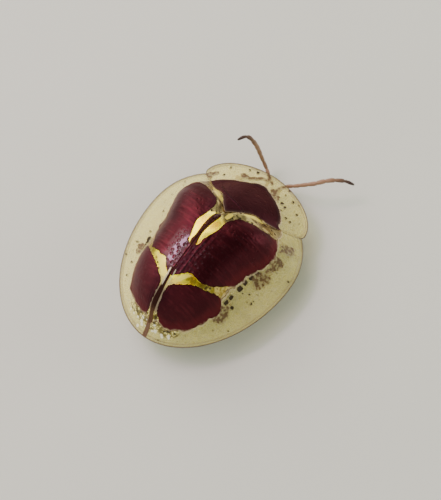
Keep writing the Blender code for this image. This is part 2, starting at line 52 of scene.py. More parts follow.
# Outline of the wing cases and dome in polar form about the crown
CASE_WIDEST = 4.42
CASE_HALF_WIDTH = 3.23
CASE_FRONT_REACH = 2.955
CASE_REAR_POWER = 1.95
CASE_FRONT_POWER = 2.34
CROWN_FORE = 3.9
CROWN_HEIGHT = 2.42
DOME_SHARES = (0.4, 0.6)
DOME_POWERS = (2, 6)
CREASE = 0.12
RIM_STEPS = 721
HALVINGS = 40
DISC_RADIUS = (
    (0, 2.5), (30, 2.35), (48, 2.65), (60, 2.62), (75, 2.25), (90, 2.02), (105, 2.04), (120, 2.24),
    (135, 2.66), (150, 3.06), (165, 3.4), (180, 3.6))
DISC_EDGE_HEIGHT = (
    (0, 1.2), (30, 1.1), (48, 0.98), (60, 0.88), (90, 0.88), (120, 0.68), (150, 0.5), (180, 0.27))
MARGIN_SAG = 1.15
CASE_TUCK = 0.1
TUCK_FALL = 0.5
SUTURE_DEPTH = 0.004
SUTURE_HALF = 0.02
UNDER_GAP = 0.05
# Degrees about each wing case's front corner, and the raggedness of the discs' edges
CORNER_SLACK = 0.2
CORNER_SPREAD = 3.0
CORNER_FADE = 6
CASE_WOBBLE = 0.012
SHIELD_WOBBLE = 0.008
WOBBLE_WAVES = (17, 31, 53, 89)
DISC_THICKNESS = 0.07
MARGIN_THICKNESS = 0.05

# Pronotum
PRONOTUM_TIP = 8.0
PRONOTUM_CORNER = (6.68, 2.37)
PRONOTUM_POWER = 1.87
PRONOTUM_HIND = (
    (6.54, 2.3), (6.44, 2.12), (6.33, 1.9), (6.22, 1.68), (6.05, 1.34), (5.95, 1.1), (5.9, 0.92),
    (5.8, 0.68), (5.6, 0.44), (5.36, 0.2), (5.2, 0.0))
PRONOTUM_STEPS = 40
PRONOTUM_CENTRE = 6.35
SHIELD_CORNER = (68, 100)
SHIELD_CENTRE = 5.0
SHIELD_FORE_REACH = 2.27
SHIELD_SIDE_REACH = 1.82
SHIELD_HEIGHT = 2.0
SHIELD_FRONT_EDGE = 0.25
SHIELD_SIDE_EDGE = 0.6
SHIELD_POWER = 1.6
SHIELD_SPREAD = 1.12

# Edge of the dark and gold part of each wing case, from the shoulder to the tail
CASE_EDGE_RIGHT = (
    (6.25, 1.66), (6.04, 1.84), (5.9, 1.93), (5.73, 1.97), (5.54, 2.12), (5.34, 2.23), (5.09, 2.28),
    (4.85, 2.28), (4.56, 2.22), (4.28, 2.12), (4.01, 2.01), (3.72, 1.95), (3.43, 1.9), (3.27, 1.87),
    (3.13, 1.85), (2.94, 1.83), (2.74, 1.81), (2.59, 1.82), (2.5, 1.86), (2.33, 1.91), (2.1, 1.91),
    (1.9, 1.84), (1.72, 1.75), (1.45, 1.63), (1.1, 1.42), (0.89, 1.21), (0.67, 0.9), (0.57, 0.68),
    (0.54, 0.48), (0.55, 0.3), (0.5, 0.14), (0.4, 0.0))
CASE_EDGE_LEFT = (
    (6.32, -1.75), (6.1, -1.95), (5.92, -2.1), (5.66, -2.22), (5.36, -2.3), (5.06, -2.3), (4.82, -2.24),
    (4.57, -2.13), (4.38, -2.1), (4.14, -2.02), (3.99, -2.0), (3.84, -2.03), (3.65, -2.08),
    (3.48, -2.0), (3.2, -1.97), (2.95, -1.95), (2.75, -1.96), (2.6, -1.98), (2.32, -1.95),
    (2.07, -1.85), (1.81, -1.78), (1.6, -1.71), (1.29, -1.57), (1.13, -1.49), (0.99, -1.33),
    (0.82, -1.05), (0.67, -0.77), (0.59, -0.51), (0.57, -0.28), (0.52, -0.14), (0.4, 0.0))
# Maroon patches as closed curves
FRONT_PATCH_RIGHT = (
    (5.66, 1.95), (5.54, 2.13), (5.34, 2.26), (5.09, 2.32), (4.85, 2.32), (4.56, 2.26), (4.28, 2.16),
    (4.01, 2.05), (3.72, 1.99), (3.43, 1.94), (3.24, 1.88), (3.07, 1.75), (2.88, 1.64), (2.62, 1.48),
    (2.45, 1.2), (2.4, 1.0), (2.43, 0.83), (2.45, 0.66), (2.4, 0.53), (2.27, 0.4), (2.09, 0.21),
    (2.0, 0.0), (2.7, -0.02), (3.5, -0.02), (3.56, 0.06), (3.4, 0.13), (3.43, 0.17), (3.55, 0.21),
    (3.72, 0.2), (3.88, 0.26), (4.02, 0.3), (4.32, 0.41), (4.61, 0.43), (4.8, 0.46), (5.01, 0.57),
    (5.2, 0.69), (5.32, 0.96), (5.41, 1.19), (5.48, 1.49), (5.55, 1.7), (5.62, 1.9))
FRONT_PATCH_LEFT = (
    (5.92, -2.2), (5.66, -2.37), (5.36, -2.46), (5.06, -2.46), (4.82, -2.4), (4.57, -2.3),
    (4.38, -2.27), (4.14, -2.2), (3.99, -2.18), (3.84, -2.22), (3.66, -2.3), (3.44, -2.14),
    (3.15, -1.77), (2.8, -1.48), (2.53, -1.33), (2.51, -1.2), (2.47, -0.95), (2.42, -0.76),
    (2.43, -0.57), (2.36, -0.46), (2.15, -0.3), (2.0, 0.0), (2.7, 0.02), (3.28, 0.02), (3.34, -0.12),
    (3.38, -0.2), (3.47, -0.25), (3.6, -0.28), (3.79, -0.35), (3.99, -0.42), (4.18, -0.47),
    (4.34, -0.46), (4.62, -0.38), (4.85, -0.34), (5.06, -0.33), (5.22, -0.37), (5.34, -0.45),
    (5.43, -0.6), (5.53, -0.87), (5.73, -1.25), (5.92, -1.68))
REAR_PATCH_RIGHT = (
    (1.6, 0.17), (1.76, 0.28), (1.93, 0.54), (2.1, 0.79), (2.21, 0.99), (2.33, 1.34), (2.43, 1.52),
    (2.52, 1.63), (2.59, 1.82), (2.5, 1.9), (2.33, 1.95), (2.1, 1.96), (1.9, 1.88), (1.72, 1.79),
    (1.45, 1.67), (1.1, 1.45), (0.89, 1.23), (0.69, 0.92), (0.6, 0.68), (0.58, 0.48), (0.64, 0.35),
    (0.72, 0.24), (0.82, 0.19), (0.97, 0.17), (1.13, 0.17), (1.3, 0.15), (1.46, 0.14))
REAR_PATCH_LEFT = (
    (2.55, -1.61), (2.62, -1.85), (2.6, -2.0), (2.32, -1.99), (2.07, -1.88), (1.81, -1.81),
    (1.6, -1.74), (1.29, -1.6), (1.13, -1.52), (0.99, -1.36), (0.84, -1.05), (0.69, -0.77),
    (0.6, -0.51), (0.58, -0.3), (0.66, -0.15), (0.8, -0.15), (1.0, -0.14), (1.3, -0.14), (1.48, -0.14),
    (1.64, -0.19), (1.74, -0.27), (1.86, -0.45), (2.01, -0.64), (2.18, -0.9), (2.35, -1.23))
# Edge of the pronotum's dark disc, round from its right hind corner by the front
SHIELD_EDGE = (
    (6.24, 1.68), (6.29, 1.52), (6.44, 1.47), (6.64, 1.35), (6.87, 1.08), (7.03, 0.84), (7.15, 0.6),
    (7.28, 0.3), (7.38, 0.05), (7.38, -0.2), (7.28, -0.4), (7.13, -0.58), (6.95, -0.87), (6.77, -1.2),
    (6.6, -1.47), (6.42, -1.7), (6.33, -1.8))
# Dark square pits along the wing cases' margins, as (fore, side, radius)
MARGIN_PITS = (
    (4.24, 2.15, 0.1), (3.99, 2.08, 0.11), (3.69, 2.01, 0.11), (3.4, 1.98, 0.12), (2.95, 1.93, 0.105),
    (2.67, 1.91, 0.12), (2.71, 2.13, 0.07), (3.32, 2.54, 0.05), (3.24, 2.53, 0.045), (3.43, 2.56, 0.04),
    (4.89, 3.03, 0.045), (3.51, 2.33, 0.045), (3.71, 2.55, 0.03), (3.35, 2.13, 0.035),
    (4.17, 2.83, 0.03), (4.79, 2.61, 0.04), (3.17, 2.15, 0.035), (3.25, 2.4, 0.03), (1.64, 2.05, 0.03),
    (2.01, 2.45, 0.03), (3.05, -2.13, 0.09), (2.92, -2.1, 0.08), (2.8, -2.1, 0.06),
    (3.33, -2.32, 0.045), (4.23, -2.4, 0.045), (2.18, -2.64, 0.05), (1.98, -2.18, 0.05),
    (1.48, -2.0, 0.045), (2.78, -2.56, 0.05), (0.62, -1.65, 0.035), (5.02, -2.63, 0.04),
    (5.8, -2.67, 0.04), (6.23, -2.55, 0.03))
# Painted highlights on the gold bands, as closed curves
PAINTED_GLINT_MARKS = (
    ((6.03, -1.41), (6.03, -1.23), (5.79, -0.74), (5.63, -0.46), (5.49, -0.4), (5.5, -0.58),
     (5.65, -0.89)),
    ((4.9, 0.29), (5.04, 0.27), (5.17, 0.35), (5.18, 0.45), (5.04, 0.45), (4.88, 0.4)),
    ((5.49, 0.68), (5.69, 0.78), (5.83, 0.92), (5.87, 1.1), (5.86, 1.23), (5.72, 1.16), (5.65, 0.99),
     (5.53, 0.82)),
    ((2.45, -0.95), (2.39, -0.75), (2.43, -0.56), (2.26, -0.4), (2.08, -0.28), (1.99, -0.14),
     (1.83, -0.16), (1.8, -0.29), (1.98, -0.45), (2.15, -0.68), (2.31, -0.88)),
    ((1.85, 0.2), (2.05, 0.29), (2.26, 0.46), (2.4, 0.62), (2.41, 0.76), (2.27, 0.63), (2.13, 0.55),
     (1.97, 0.48), (1.82, 0.32)))
# Whitish gloss painted as colour along both sides of the dark stripe, as closed curves
STREAKS = (
    ((2.21, -0.16), (2.22, -0.07), (1.91, -0.03), (1.62, -0.01), (1.5, -0.03), (1.57, -0.11),
     (1.8, -0.14), (2.02, -0.16)),
    ((2.25, 0.05), (2.24, 0.14), (1.97, 0.17), (1.75, 0.16), (1.63, 0.17), (1.69, 0.1), (1.96, 0.08)))
# Gold flecks at the tail: where they end in fore, side and distance from the disc, and the
# length over which they fade
TAIL_GOLD = ((0.95, 0.25), (1.4, 0.35), (0.272, 0.17))
# Dark pits and painted glints at the tail, as (fore, side, radius)
TAIL_PITS = (
    (0.54, -0.66, 0.06), (0.56, -0.45, 0.05), (0.59, -0.22, 0.07), (0.65, 0.22, 0.07),
    (0.58, 0.25, 0.07), (0.5, 0.22, 0.06), (0.58, 0.78, 0.07), (0.52, 0.66, 0.05), (0.67, 1.02, 0.05),
    (0.19, 0.56, 0.03), (0.59, -0.93, 0.04))
TAIL_GLINTS = (
    (0.36, -0.33, 0.07), (0.29, -0.28, 0.06), (0.42, -0.55, 0.05), (0.47, -0.31, 0.06),
    (0.19, -0.42, 0.06), (0.53, -1.0, 0.05), (0.35, 0.33, 0.07), (0.3, 0.21, 0.04), (0.38, 0.6, 0.05),
    (0.34, 0.64, 0.05), (0.5, 0.85, 0.05), (0.45, 0.88, 0.05), (0.46, 0.25, 0.05), (0.45, -0.1, 0.04),
    (0.46, -0.78, 0.04), (0.3, -0.1, 0.04))
# A fine crease across the pronotum's back, with painted shade along it
CREASE_WIDTH = 0.035
PRONOTUM_CREASE = ((6.23, -1.1), (6.02, -0.69), (5.88, -0.31), (5.79, 0.06), (5.7, 0.44))
# Fine dark pits in the pronotum's margin, as (fore, side, radius)
PRONOTUM_PITS = (
    (7.36, 0.65, 0.061), (7.2, 0.93, 0.072), (7.13, 1.12, 0.061), (6.91, 1.1, 0.061),
    (7.56, 1.16, 0.065), (7.89, 0.74, 0.061), (6.86, -1.61, 0.053), (7.34, -1.68, 0.053),
    (7.75, -0.69, 0.061), (7.21, 1.62, 0.05), (6.78, 1.65, 0.053), (6.79, 1.45, 0.05),
    (7.65, -1.0, 0.046), (7.62, 0.77, 0.035), (7.6, 1.4, 0.035), (6.99, 1.91, 0.035), (6.61, 1.91, 0.03))
# Mottled brown marks in the wing cases' margins, as closed curves
BROWN_MARKS = (
    ((4.01, 2.14), (4.13, 2.18), (4.31, 2.23), (4.43, 2.32), (4.44, 2.44), (4.47, 2.54), (4.37, 2.58),
     (4.22, 2.55), (4.1, 2.51), (3.99, 2.45), (3.91, 2.47), (3.84, 2.38), (3.91, 2.31), (3.88, 2.23)),
    ((4.81, 2.31), (4.99, 2.36), (5.19, 2.35), (5.23, 2.42), (5.21, 2.56), (5.08, 2.6), (4.93, 2.58),
     (4.78, 2.5), (4.61, 2.41), (4.51, 2.35), (4.57, 2.33), (4.72, 2.39)),
    ((2.41, 1.9), (2.65, 2.02), (2.5, 2.1), (2.33, 2.16), (2.07, 2.16), (1.94, 1.99), (1.89, 1.9),
     (2.01, 1.91), (2.17, 2.01), (2.29, 1.93)),
    ((5.68, 2.19), (5.84, 2.24), (5.84, 2.32), (5.96, 2.39), (5.93, 2.47), (5.74, 2.56), (5.64, 2.48),
     (5.59, 2.38), (5.51, 2.29), (5.43, 2.27), (5.49, 2.26), (5.68, 2.31)),
    ((2.7, -2.41), (2.79, -2.26), (2.74, -2.15), (2.73, -2.08), (2.6, -2.09), (2.44, -2.1),
     (2.39, -2.21), (2.51, -2.3), (2.61, -2.32)))
# Brown marks in the pronotum's margin, as closed curves
PRONOTUM_MARKS = (
    ((7.27, -1.09), (7.37, -1.05), (7.35, -0.91), (7.29, -0.82), (7.24, -0.91), (7.21, -1.01)),
    ((7.36, -0.87), (7.35, -0.74), (7.51, -0.58), (7.65, -0.41), (7.75, -0.2), (7.7, -0.16),
     (7.6, -0.37), (7.46, -0.54), (7.3, -0.7), (7.29, -0.83)),
    ((7.42, 0.22), (7.5, 0.3), (7.39, 0.53), (7.21, 0.75), (7.18, 0.66), (7.28, 0.43)),
    ((7.96, -0.42), (7.99, -0.4), (7.86, -0.16), (7.71, 0.06), (7.68, 0.05), (7.8, -0.17)),
    ((7.99, 0.53), (7.96, 0.56), (7.69, 0.42), (7.45, 0.4), (7.46, 0.36), (7.71, 0.37)))
# Brown spots at the pronotum's left hind corner, as (fore, side, radius)
CORNER_SPOTS = (
    (6.6, -2.15, 0.1), (6.5, -2.05, 0.08), (6.68, -2.07, 0.07), (6.75, -2.0, 0.06), (6.81, -1.93, 0.05))

# Body sections as (fore, half width, top, belly), the last two up from the rim level
BELLY = -0.05
ABDOMEN_SECTIONS = (
    (0.85, 0.05, 0.3, 0.2), (0.95, 0.4, 0.4, 0.04), (1.15, 0.85, 0.65, BELLY), (1.6, 1.2, 1.0, BELLY),
    (2.1, 1.43, 1.18, BELLY), (2.6, 1.53, 1.3, BELLY), (3.0, 1.55, 1.36, BELLY), (3.3, 1.5, 1.3, -0.02))
VENTRITE_JOINTS = (1.35, 1.8, 2.2, 2.6)
THORAX_SECTIONS = (
    (3.2, 1.4, 1.25, 0.0), (3.4, 1.52, 1.4, -0.08), (4.1, 1.58, 1.45, -0.12), (4.7, 1.52, 1.25, -0.1),
    (5.1, 1.25, 0.9, -0.08), (5.4, 1.0, 0.7, 0.0))
PROTHORAX_SECTIONS = (
    (5.35, 0.8, 1.2, 0.02), (5.65, 1.0, 1.35, -0.08), (6.05, 1.05, 1.2, -0.1),
    (6.35, 0.95, 0.95, -0.04), (6.6, 0.75, 0.75, 0.08))
SECTION_MIDDLE = 0.15
BELLY_POWER = 3.2
BODY_STEPS = 110
# Relief at each belly plate's joint as (height, distance ahead of the joint, half width)
PLATE_RELIEF = ((0.05, 0.0, 0.028), (-0.035, 0.09, 0.07))
PLATE_BEND = 1 / 30
# The breast's groove as (depth, half width), and the place and lean of its seam
BREAST_GROOVE = (0.05, 0.03)
BREAST_SEAM = 4.55
SEAM_LEAN = 0.08

# Scutellum, a small triangle between the wing cases' bases
SCUTELLUM_TIP = 4.62
SCUTELLUM_BASE = 5.14
SCUTELLUM_HALF = 0.2
SCUTELLUM_CROWN = 0.03
SCUTELLUM_THICKNESS = 0.1

# Head and eyes as ellipsoids: (fore, side, up), then the radii along the same ways. Those
# off the midline are made on both sides
HEAD_PARTS = (
    ((6.85, 0.0, -0.25), (0.36, 0.66, 0.42)), ((7.02, 0.0, -0.2), (0.24, 0.4, 0.3)),
    ((7.06, 0.0, -0.44), (0.14, 0.26, 0.14)), ((7.14, 0.0, -0.55), (0.06, 0.16, 0.09)),
    ((7.06, 0.12, -0.62), (0.07, 0.1, 0.07)), ((7.08, 0.26, -0.6), (0.05, 0.05, 0.1)),
    ((7.12, 0.28, -0.68), (0.05, 0.045, 0.05)), ((7.16, 0.2, -0.28), (0.07, 0.08, 0.08)))
EYE = (((6.83, 0.73, -0.2), (0.21, 0.17, 0.26)),)

# Antennae: routes as (fore, side, up), and the joints as (length by share, radius)
ANTENNA_LEFT = (
    (7.17, -0.2, -0.3), (7.4, -0.27, -0.5), (7.7, -0.32, -0.6), (7.95, -0.38, -0.6),
    (8.11, -0.54, -0.55), (8.255, -0.76, -0.45), (8.36, -1.0, -0.1), (8.39, -1.13, 0.4),
    (8.37, -1.2, 0.8), (8.33, -1.37, 1.2), (8.2, -1.53, 1.35), (7.94, -1.69, 1.3))
ANTENNA_RIGHT = (
    (7.17, 0.2, -0.3), (7.4, 0.27, -0.5), (7.7, 0.25, -0.62), (7.92, 0.22, -0.6), (8.11, 0.36, -0.55),
    (8.27, 0.7, -0.35), (8.43, 1.04, -0.1), (8.65, 1.37, 0.05), (8.87, 1.61, 0.15), (9.11, 1.86, 0.15),
    (9.29, 2.09, 0.1), (9.43, 2.3, 0.0), (9.52, 2.56, -0.12))
ANTENNA_JOINTS = (
    (0.1, 0.085), (0.07, 0.072), (0.09, 0.068), (0.09, 0.07), (0.09, 0.074), (0.09, 0.08),
    (0.09, 0.086), (0.09, 0.09), (0.09, 0.088), (0.09, 0.08), (0.11, 0.065))

# How the radius swells along each joint, as (share of its length, share of its radius)
ANTENNA_SWELLS = ((0.02, 0.72), (0.12, 0.86), (0.35, 0.95), (0.6, 1.0), (0.85, 0.98), (0.97, 0.8))

# Legs as plan points (fore, side): coxa, knee, ankle and toe
LEGS = {
    "leg_front_right": ((5.95, 0.5), (6.08, 1.25), (6.15, 1.62), (6.14, 2.3)),
    "leg_front_left": ((5.95, -0.5), (6.45, -1.4), (6.95, -1.5), (7.6, -1.35)),
    "leg_middle_right": ((4.85, 0.65), (5.42, 2.05), (4.92, 1.95), (4.24, 1.9)),
    "leg_middle_left": ((4.85, -0.65), (5.0, -1.6), (4.75, -1.9), (4.15, -1.95)),
    "leg_hind_right": ((3.85, 0.65), (3.15, 1.45), (2.95, 1.58), (2.3, 1.55)),
    "leg_hind_left": ((3.85, -0.65), (3.35, -1.6), (3.2, -2.05), (2.92, -2.72)),
}
COXA_UP = -0.42
COXA_RADII = (0.27, 0.27, 0.36)
THIGH_UP = -0.55
KNEE_UP = -0.46
ANKLE_UP = -0.84
THIGH_RADII = (0.12, 0.18, 0.21, 0.19, 0.14, 0.11)
SHIN_RADII = (0.1, 0.1, 0.11, 0.13, 0.14, 0.1)
FOOT_JOINTS = ((0.0, 0.3, 0.14), (0.25, 0.52, 0.17), (0.45, 0.82, 0.23))
KNEE_RADII = (0.12, 0.12, 0.11)
ANKLE_RADII = (0.11, 0.11, 0.1)
PAD_MESH = (12, 20)
PAD_THICKNESS = 0.055
PAD_UP = 0.075
SOLE_UP = 0.07

# Claw joint as (share of the foot, height) at both ends, and the two claws
CLAW_JOINT = ((0.6, 0.12), (0.95, 0.13))
CLAW_JOINT_RADII = (0.03, 0.035, 0.038, 0.042, 0.046, 0.05, 0.052, 0.04)
CLAW_REACH = 0.2
CLAW_SPREAD = 0.1
CLAW_UP = 0.14
CLAW_DROP = 0.13
CLAW_RADII = (0.026, 0.004)

# Hairs: how many, and each one's length and radius
ANTENNA_HAIRS = 7
FOOT_HAIRS = 44
THIGH_HAIRS = 40
SHIN_HAIRS = 70
ANTENNA_HAIR = (0.055, 0.004)
FOOT_HAIR = (0.055, 0.006)
LEG_HAIR = (0.09, 0.006)

# Dark stripe along the suture, as (fore, side of its middle) and (fore, half width)
STRIPE_MIDDLE = (
    (0.2, 0.09), (0.47, 0.055), (0.71, 0.01), (1.0, -0.01), (1.33, 0.0), (1.7, -0.015), (2.0, -0.035),
    (2.3, -0.06), (2.8, 0.0), (3.2, -0.02), (3.42, -0.02), (3.67, -0.035), (3.92, -0.055),
    (4.15, -0.06), (4.41, -0.045), (4.69, 0.0), (4.88, 0.045), (5.2, 0.04))
STRIPE_HALF = (
    (0.2, 0.08), (0.47, 0.09), (0.71, 0.09), (1.0, 0.11), (1.33, 0.095), (1.7, 0.075), (2.0, 0.065),
    (2.25, 0.03), (2.4, -0.1), (3.1, -0.1), (3.42, 0.13), (3.67, 0.095), (3.92, 0.085), (4.15, 0.1),
    (4.41, 0.115), (4.69, 0.13), (4.88, 0.09), (4.97, -0.05), (5.3, -0.1))
# Share of pits in the gold painted dark as shade: at the base, in the strips and in the rear bands
BASE_FORE = 4.75
STRIP_FORE = 3.3
PIT_SHARES = (1.0, 0.05, 0.9)
# Rows of pits: the (fore, side) of the outermost, their number, their spacing along and the
# shift that keeps the two sides' pits unlike
ROWS_SIDE = (
    (0.3, 0.3), (0.9, 1.2), (1.6, 1.7), (2.4, 1.95), (3.4, 2.0), (4.6, 2.2), (5.4, 2.2), (6.2, 1.8))
ROWS_OF_PITS = 10
PIT_SPACING = 0.21
ROW_SHIFT = 40

# The floor's half width in metres, and the fineness of the shells
FLOOR_HALF = 0.6
DISC_ROWS = 110
MARGIN_ROWS = 46
CASE_COLUMNS = 420
SHIELD_COLUMNS = 520


def hermite(table, x):
    """Read a smooth curve through the table's (x, value) pairs."""
    if x <= table[0][0]:
        return table[0][1]
    if x >= table[-1][0]:
        return table[-1][1]
    right = next(i for i, pair in enumerate(table) if pair[0] >= x)
    (x0, y0), (x1, y1) = table[right - 1], table[right]
    span = x1 - x0

    def slope(i):
        before, after = table[max(i - 1, 0)], table[min(i + 1, len(table) - 1)]
        return (after[1] - before[1]) / (after[0] - before[0])

    t = (x - x0) / span
    blend = t * t * (3 - 2 * t)
    lean = span * (t * (1 - t) * (1 - t) * slope(right - 1) + t * t * (t - 1) * slope(right))
    return y0 + (y1 - y0) * blend + lean


def dense(table, steps=720):
    """The smooth curve through a table as two arrays for np.interp."""
    xs = np.linspace(table[0][0], table[-1][0], steps)
    return xs, np.array([hermite(table, x) for x in xs])


def curve_through(knots, steps):
    """Places on a Catmull-Rom curve from the second knot up to the last but one."""
    places = []
    for a, b, c, d in zip(knots, knots[1:], knots[2:], knots[3:]):
        for step in range(steps):
            t = step / steps
            places.append(0.5 * (2 * b + (c - a) * t + (2 * a - 5 * b + 4 * c - d) * t * t
                                 + (3 * b - 3 * c + d - a) * t ** 3))
    return places


def route_through(points, steps):
    """A smooth open route through the points, steps to a span."""
    knots = [Vector(point) for point in points]
    return curve_through([knots[0], *knots, knots[-1]], steps) + [knots[-1]]


def closed_curve(points, steps=5):
    """A smooth closed curve through the points, its last place its first."""
    ring = [Vector(point) for point in points]
    curve = curve_through([ring[-1], *ring, *ring[:2]], steps)
    return [*curve, curve[0]]


def line_distance(fore, side, line):
    """Distance of each place from a line through points."""
    nearest = np.full(fore.shape, FAR)
    for (ax, ay), (bx, by) in zip(line, line[1:]):
        ex, ey = bx - ax, by - ay
        along = ((fore - ax) * ex + (side - ay) * ey) / max(ex * ex + ey * ey, 1e-12)
        along = np.clip(along, 0, 1)
        nearest = np.minimum(nearest, np.hypot(fore - ax - along * ex, side - ay - along * ey))
    return nearest


def inside(fore, side, loop):
    """Whether each place lies inside a closed line."""
    within = np.zeros(fore.shape, bool)
    for (ax, ay), (bx, by) in zip(loop, loop[1:]):
        if ay != by:
            crosses = (ay > side) != (by > side)
            within ^= crosses & (fore < (bx - ax) * (side - ay) / (by - ay) + ax)
    return within


def polar(centre_fore, radius, angles):
    """Fore and side of places at distances and angles about a centre in the midline."""
    turn = np.radians(angles)
    return centre_fore + radius * np.cos(turn), radius * np.sin(turn)


def bearings(line, centre_fore):
    """Angles and distances of places about a centre in the midline, by rising angle."""
    fore, side = np.array(line).T
    angle = np.degrees(np.unwrap(np.arctan2(side, fore - centre_fore)))
    order = np.argsort(angle)
    return angle[order], np.hypot(side, fore - centre_fore)[order]


def ray_reach(line, centre_fore, angles):
    """Distance from a centre to a smooth line through places, at each angle."""
    return np.interp(angles, *dense(list(zip(*bearings(line, centre_fore))), 1500))


def smoothed(values, reach, mode):
    """The mean of each value and its neighbours within reach."""
    width = 2 * reach + 1
    return np.convolve(np.pad(values, reach, mode=mode), np.ones(width) / width, mode="valid")


def wobble(angles, size, seed):
    """A small smooth unevenness along an edge, the same on every run."""
    draw = np.random.default_rng(seed)
    total = np.zeros(len(angles))
    for waves in WOBBLE_WAVES:
        total += draw.normal() * np.sin(np.radians(angles) * waves + draw.uniform(0, 6.28))
    return total * size / 2


def case_half_width(fore):
    """Half width of the wing cases' outline."""
    back = np.clip((CASE_WIDEST - fore) / CASE_WIDEST, 0, 1)
    rear = np.clip(1 - back ** CASE_REAR_POWER, 0, 1) ** (1 / CASE_REAR_POWER)
    ahead = np.clip((fore - CASE_WIDEST) / CASE_FRONT_REACH, 0, 1)
    front = np.sqrt(np.clip(1 - ahead ** CASE_FRONT_POWER, 0, 1))
    return CASE_HALF_WIDTH * np.where(fore < CASE_WIDEST, rear, front)


def rim_radii():
    """The wing cases' outline in polar form about the crown."""
    angles = np.linspace(0, 180, RIM_STEPS)
    low, high = np.zeros(RIM_STEPS), np.full(RIM_STEPS, FAR)
    for _ in range(HALVINGS):
        middle = (low + high) / 2
        fore, side = polar(CROWN_FORE, middle, angles)
        within = (side < case_half_width(np.maximum(fore, 0))) & (fore > 0)
        low, high = np.where(within, middle, low), np.where(within, high, middle)
    return angles, low


RIM_TABLE = rim_radii()
DISC_TABLE = dense(DISC_RADIUS)
EDGE_TABLE = dense(DISC_EDGE_HEIGHT)


def joined_height(dome, margin):
    """The greater of two heights, with the crease between them rounded."""
    return (dome + margin + np.sqrt((dome - margin) ** 2 + CREASE ** 2) - CREASE) / 2


def case_height(fore, side):
    """Height of the wing cases over their rim."""
    radius = np.hypot(fore - CROWN_FORE, side)
    angle = np.degrees(np.arctan2(np.abs(side), fore - CROWN_FORE))
    disc = np.interp(angle, *DISC_TABLE)
    edge = np.interp(angle, *EDGE_TABLE)
    fall = sum(part * (radius / disc) ** power
               for part, power in zip(DOME_SHARES, DOME_POWERS))
    dome = edge + (CROWN_HEIGHT - edge) * (1 - fall)
    out = np.maximum(radius - disc, 0) / (np.interp(angle, *RIM_TABLE) - disc)
    return joined_height(dome, edge * np.maximum(1 - out, 0) ** MARGIN_SAG)


def pronotum_height(fore, side):
    """Height of the pronotum over the rim level."""
    share = np.hypot((fore - SHIELD_CENTRE) / SHIELD_FORE_REACH, side / SHIELD_SIDE_REACH)
    ahead = np.maximum(fore - SHIELD_CENTRE, 0) / np.maximum(share * SHIELD_FORE_REACH, 0.001)
    front = np.minimum(ahead, 1) ** 4
    edge = SHIELD_SIDE_EDGE + (SHIELD_FRONT_EDGE - SHIELD_SIDE_EDGE) * front
    dome = edge + (SHIELD_HEIGHT - edge) * (1 - share ** SHIELD_POWER)
    forward = (PRONOTUM_TIP - SHIELD_CENTRE) / SHIELD_FORE_REACH - 1
    sideways = PRONOTUM_CORNER[1] * SHIELD_SPREAD / SHIELD_SIDE_REACH - 1
    out = np.maximum(share - 1, 0) / (sideways + (forward - sideways) * front)
    return joined_height(dome, edge * np.maximum(1 - out, 0))


def spot_array(fore, side, up):
    """Places on the beetle as an array of metres in the row's frame."""
    return np.stack([-side, TAIL_Y - fore, RIM_LEVEL + up], axis=-1) * MILLIMETRE


def spot(fore, side, up):
    """One place on the beetle in metres."""
    return Vector((-side, TAIL_Y - fore, RIM_LEVEL + up)) * MILLIMETRE


def placed(name, data):
    """An object of a mesh, light or camera, linked into the scene."""
    thing = bpy.data.objects.new(name, data)
    bpy.context.scene.collection.objects.link(thing)
    return thing


def grid_object(name, places, closed, values):
    """A mesh from a grid of places (columns by rows), with named values at its points."""
    columns, rows = places.shape[:2]
    index = np.arange(columns * rows).reshape(columns, rows)
    ahead = np.roll(index, -1, axis=0) if closed else index[1:]
    here = index if closed else index[:-1]
    quads = np.stack([here[:, :-1], here[:, 1:], ahead[:, 1:], ahead[:, :-1]], axis=-1)
    mesh = bpy.data.meshes.new(name)
    mesh.from_pydata(places.reshape(-1, 3).tolist(), [], quads.reshape(-1, 4).tolist())
    for key, numbers in values.items():
        layer = mesh.attributes.new(key, "FLOAT", "POINT")
        layer.data.foreach_set("value", np.asarray(numbers, np.float32).ravel())
    mesh.validate()
    mesh.shade_smooth()
    return placed(name, mesh)


def dress(thing, material, slot, *nodes):
    """Give a piece its material and its body, and hide the nodes it stands for. The slot is not used."""
    thing.data.materials.clear()
    thing.data.materials.append(material)
    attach(thing, "root")
    if nodes:
        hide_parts(*nodes)
    return thing


def add_shell(name, surface, closed, values, thickness, *outfit):
    """A shell from grids of fore, side and up, turned upwards and thickened inwards."""
    thing = grid_object(name, spot_array(*surface), closed, values)
    if sum(face.normal.z * face.area for face in thing.data.polygons) < 0:
        thing.data.flip_normals()
    solid = thing.modifiers.new("thickness", "SOLIDIFY")
    solid.thickness = thickness * MILLIMETRE
    solid.offset = -1
    dress(thing, *outfit)


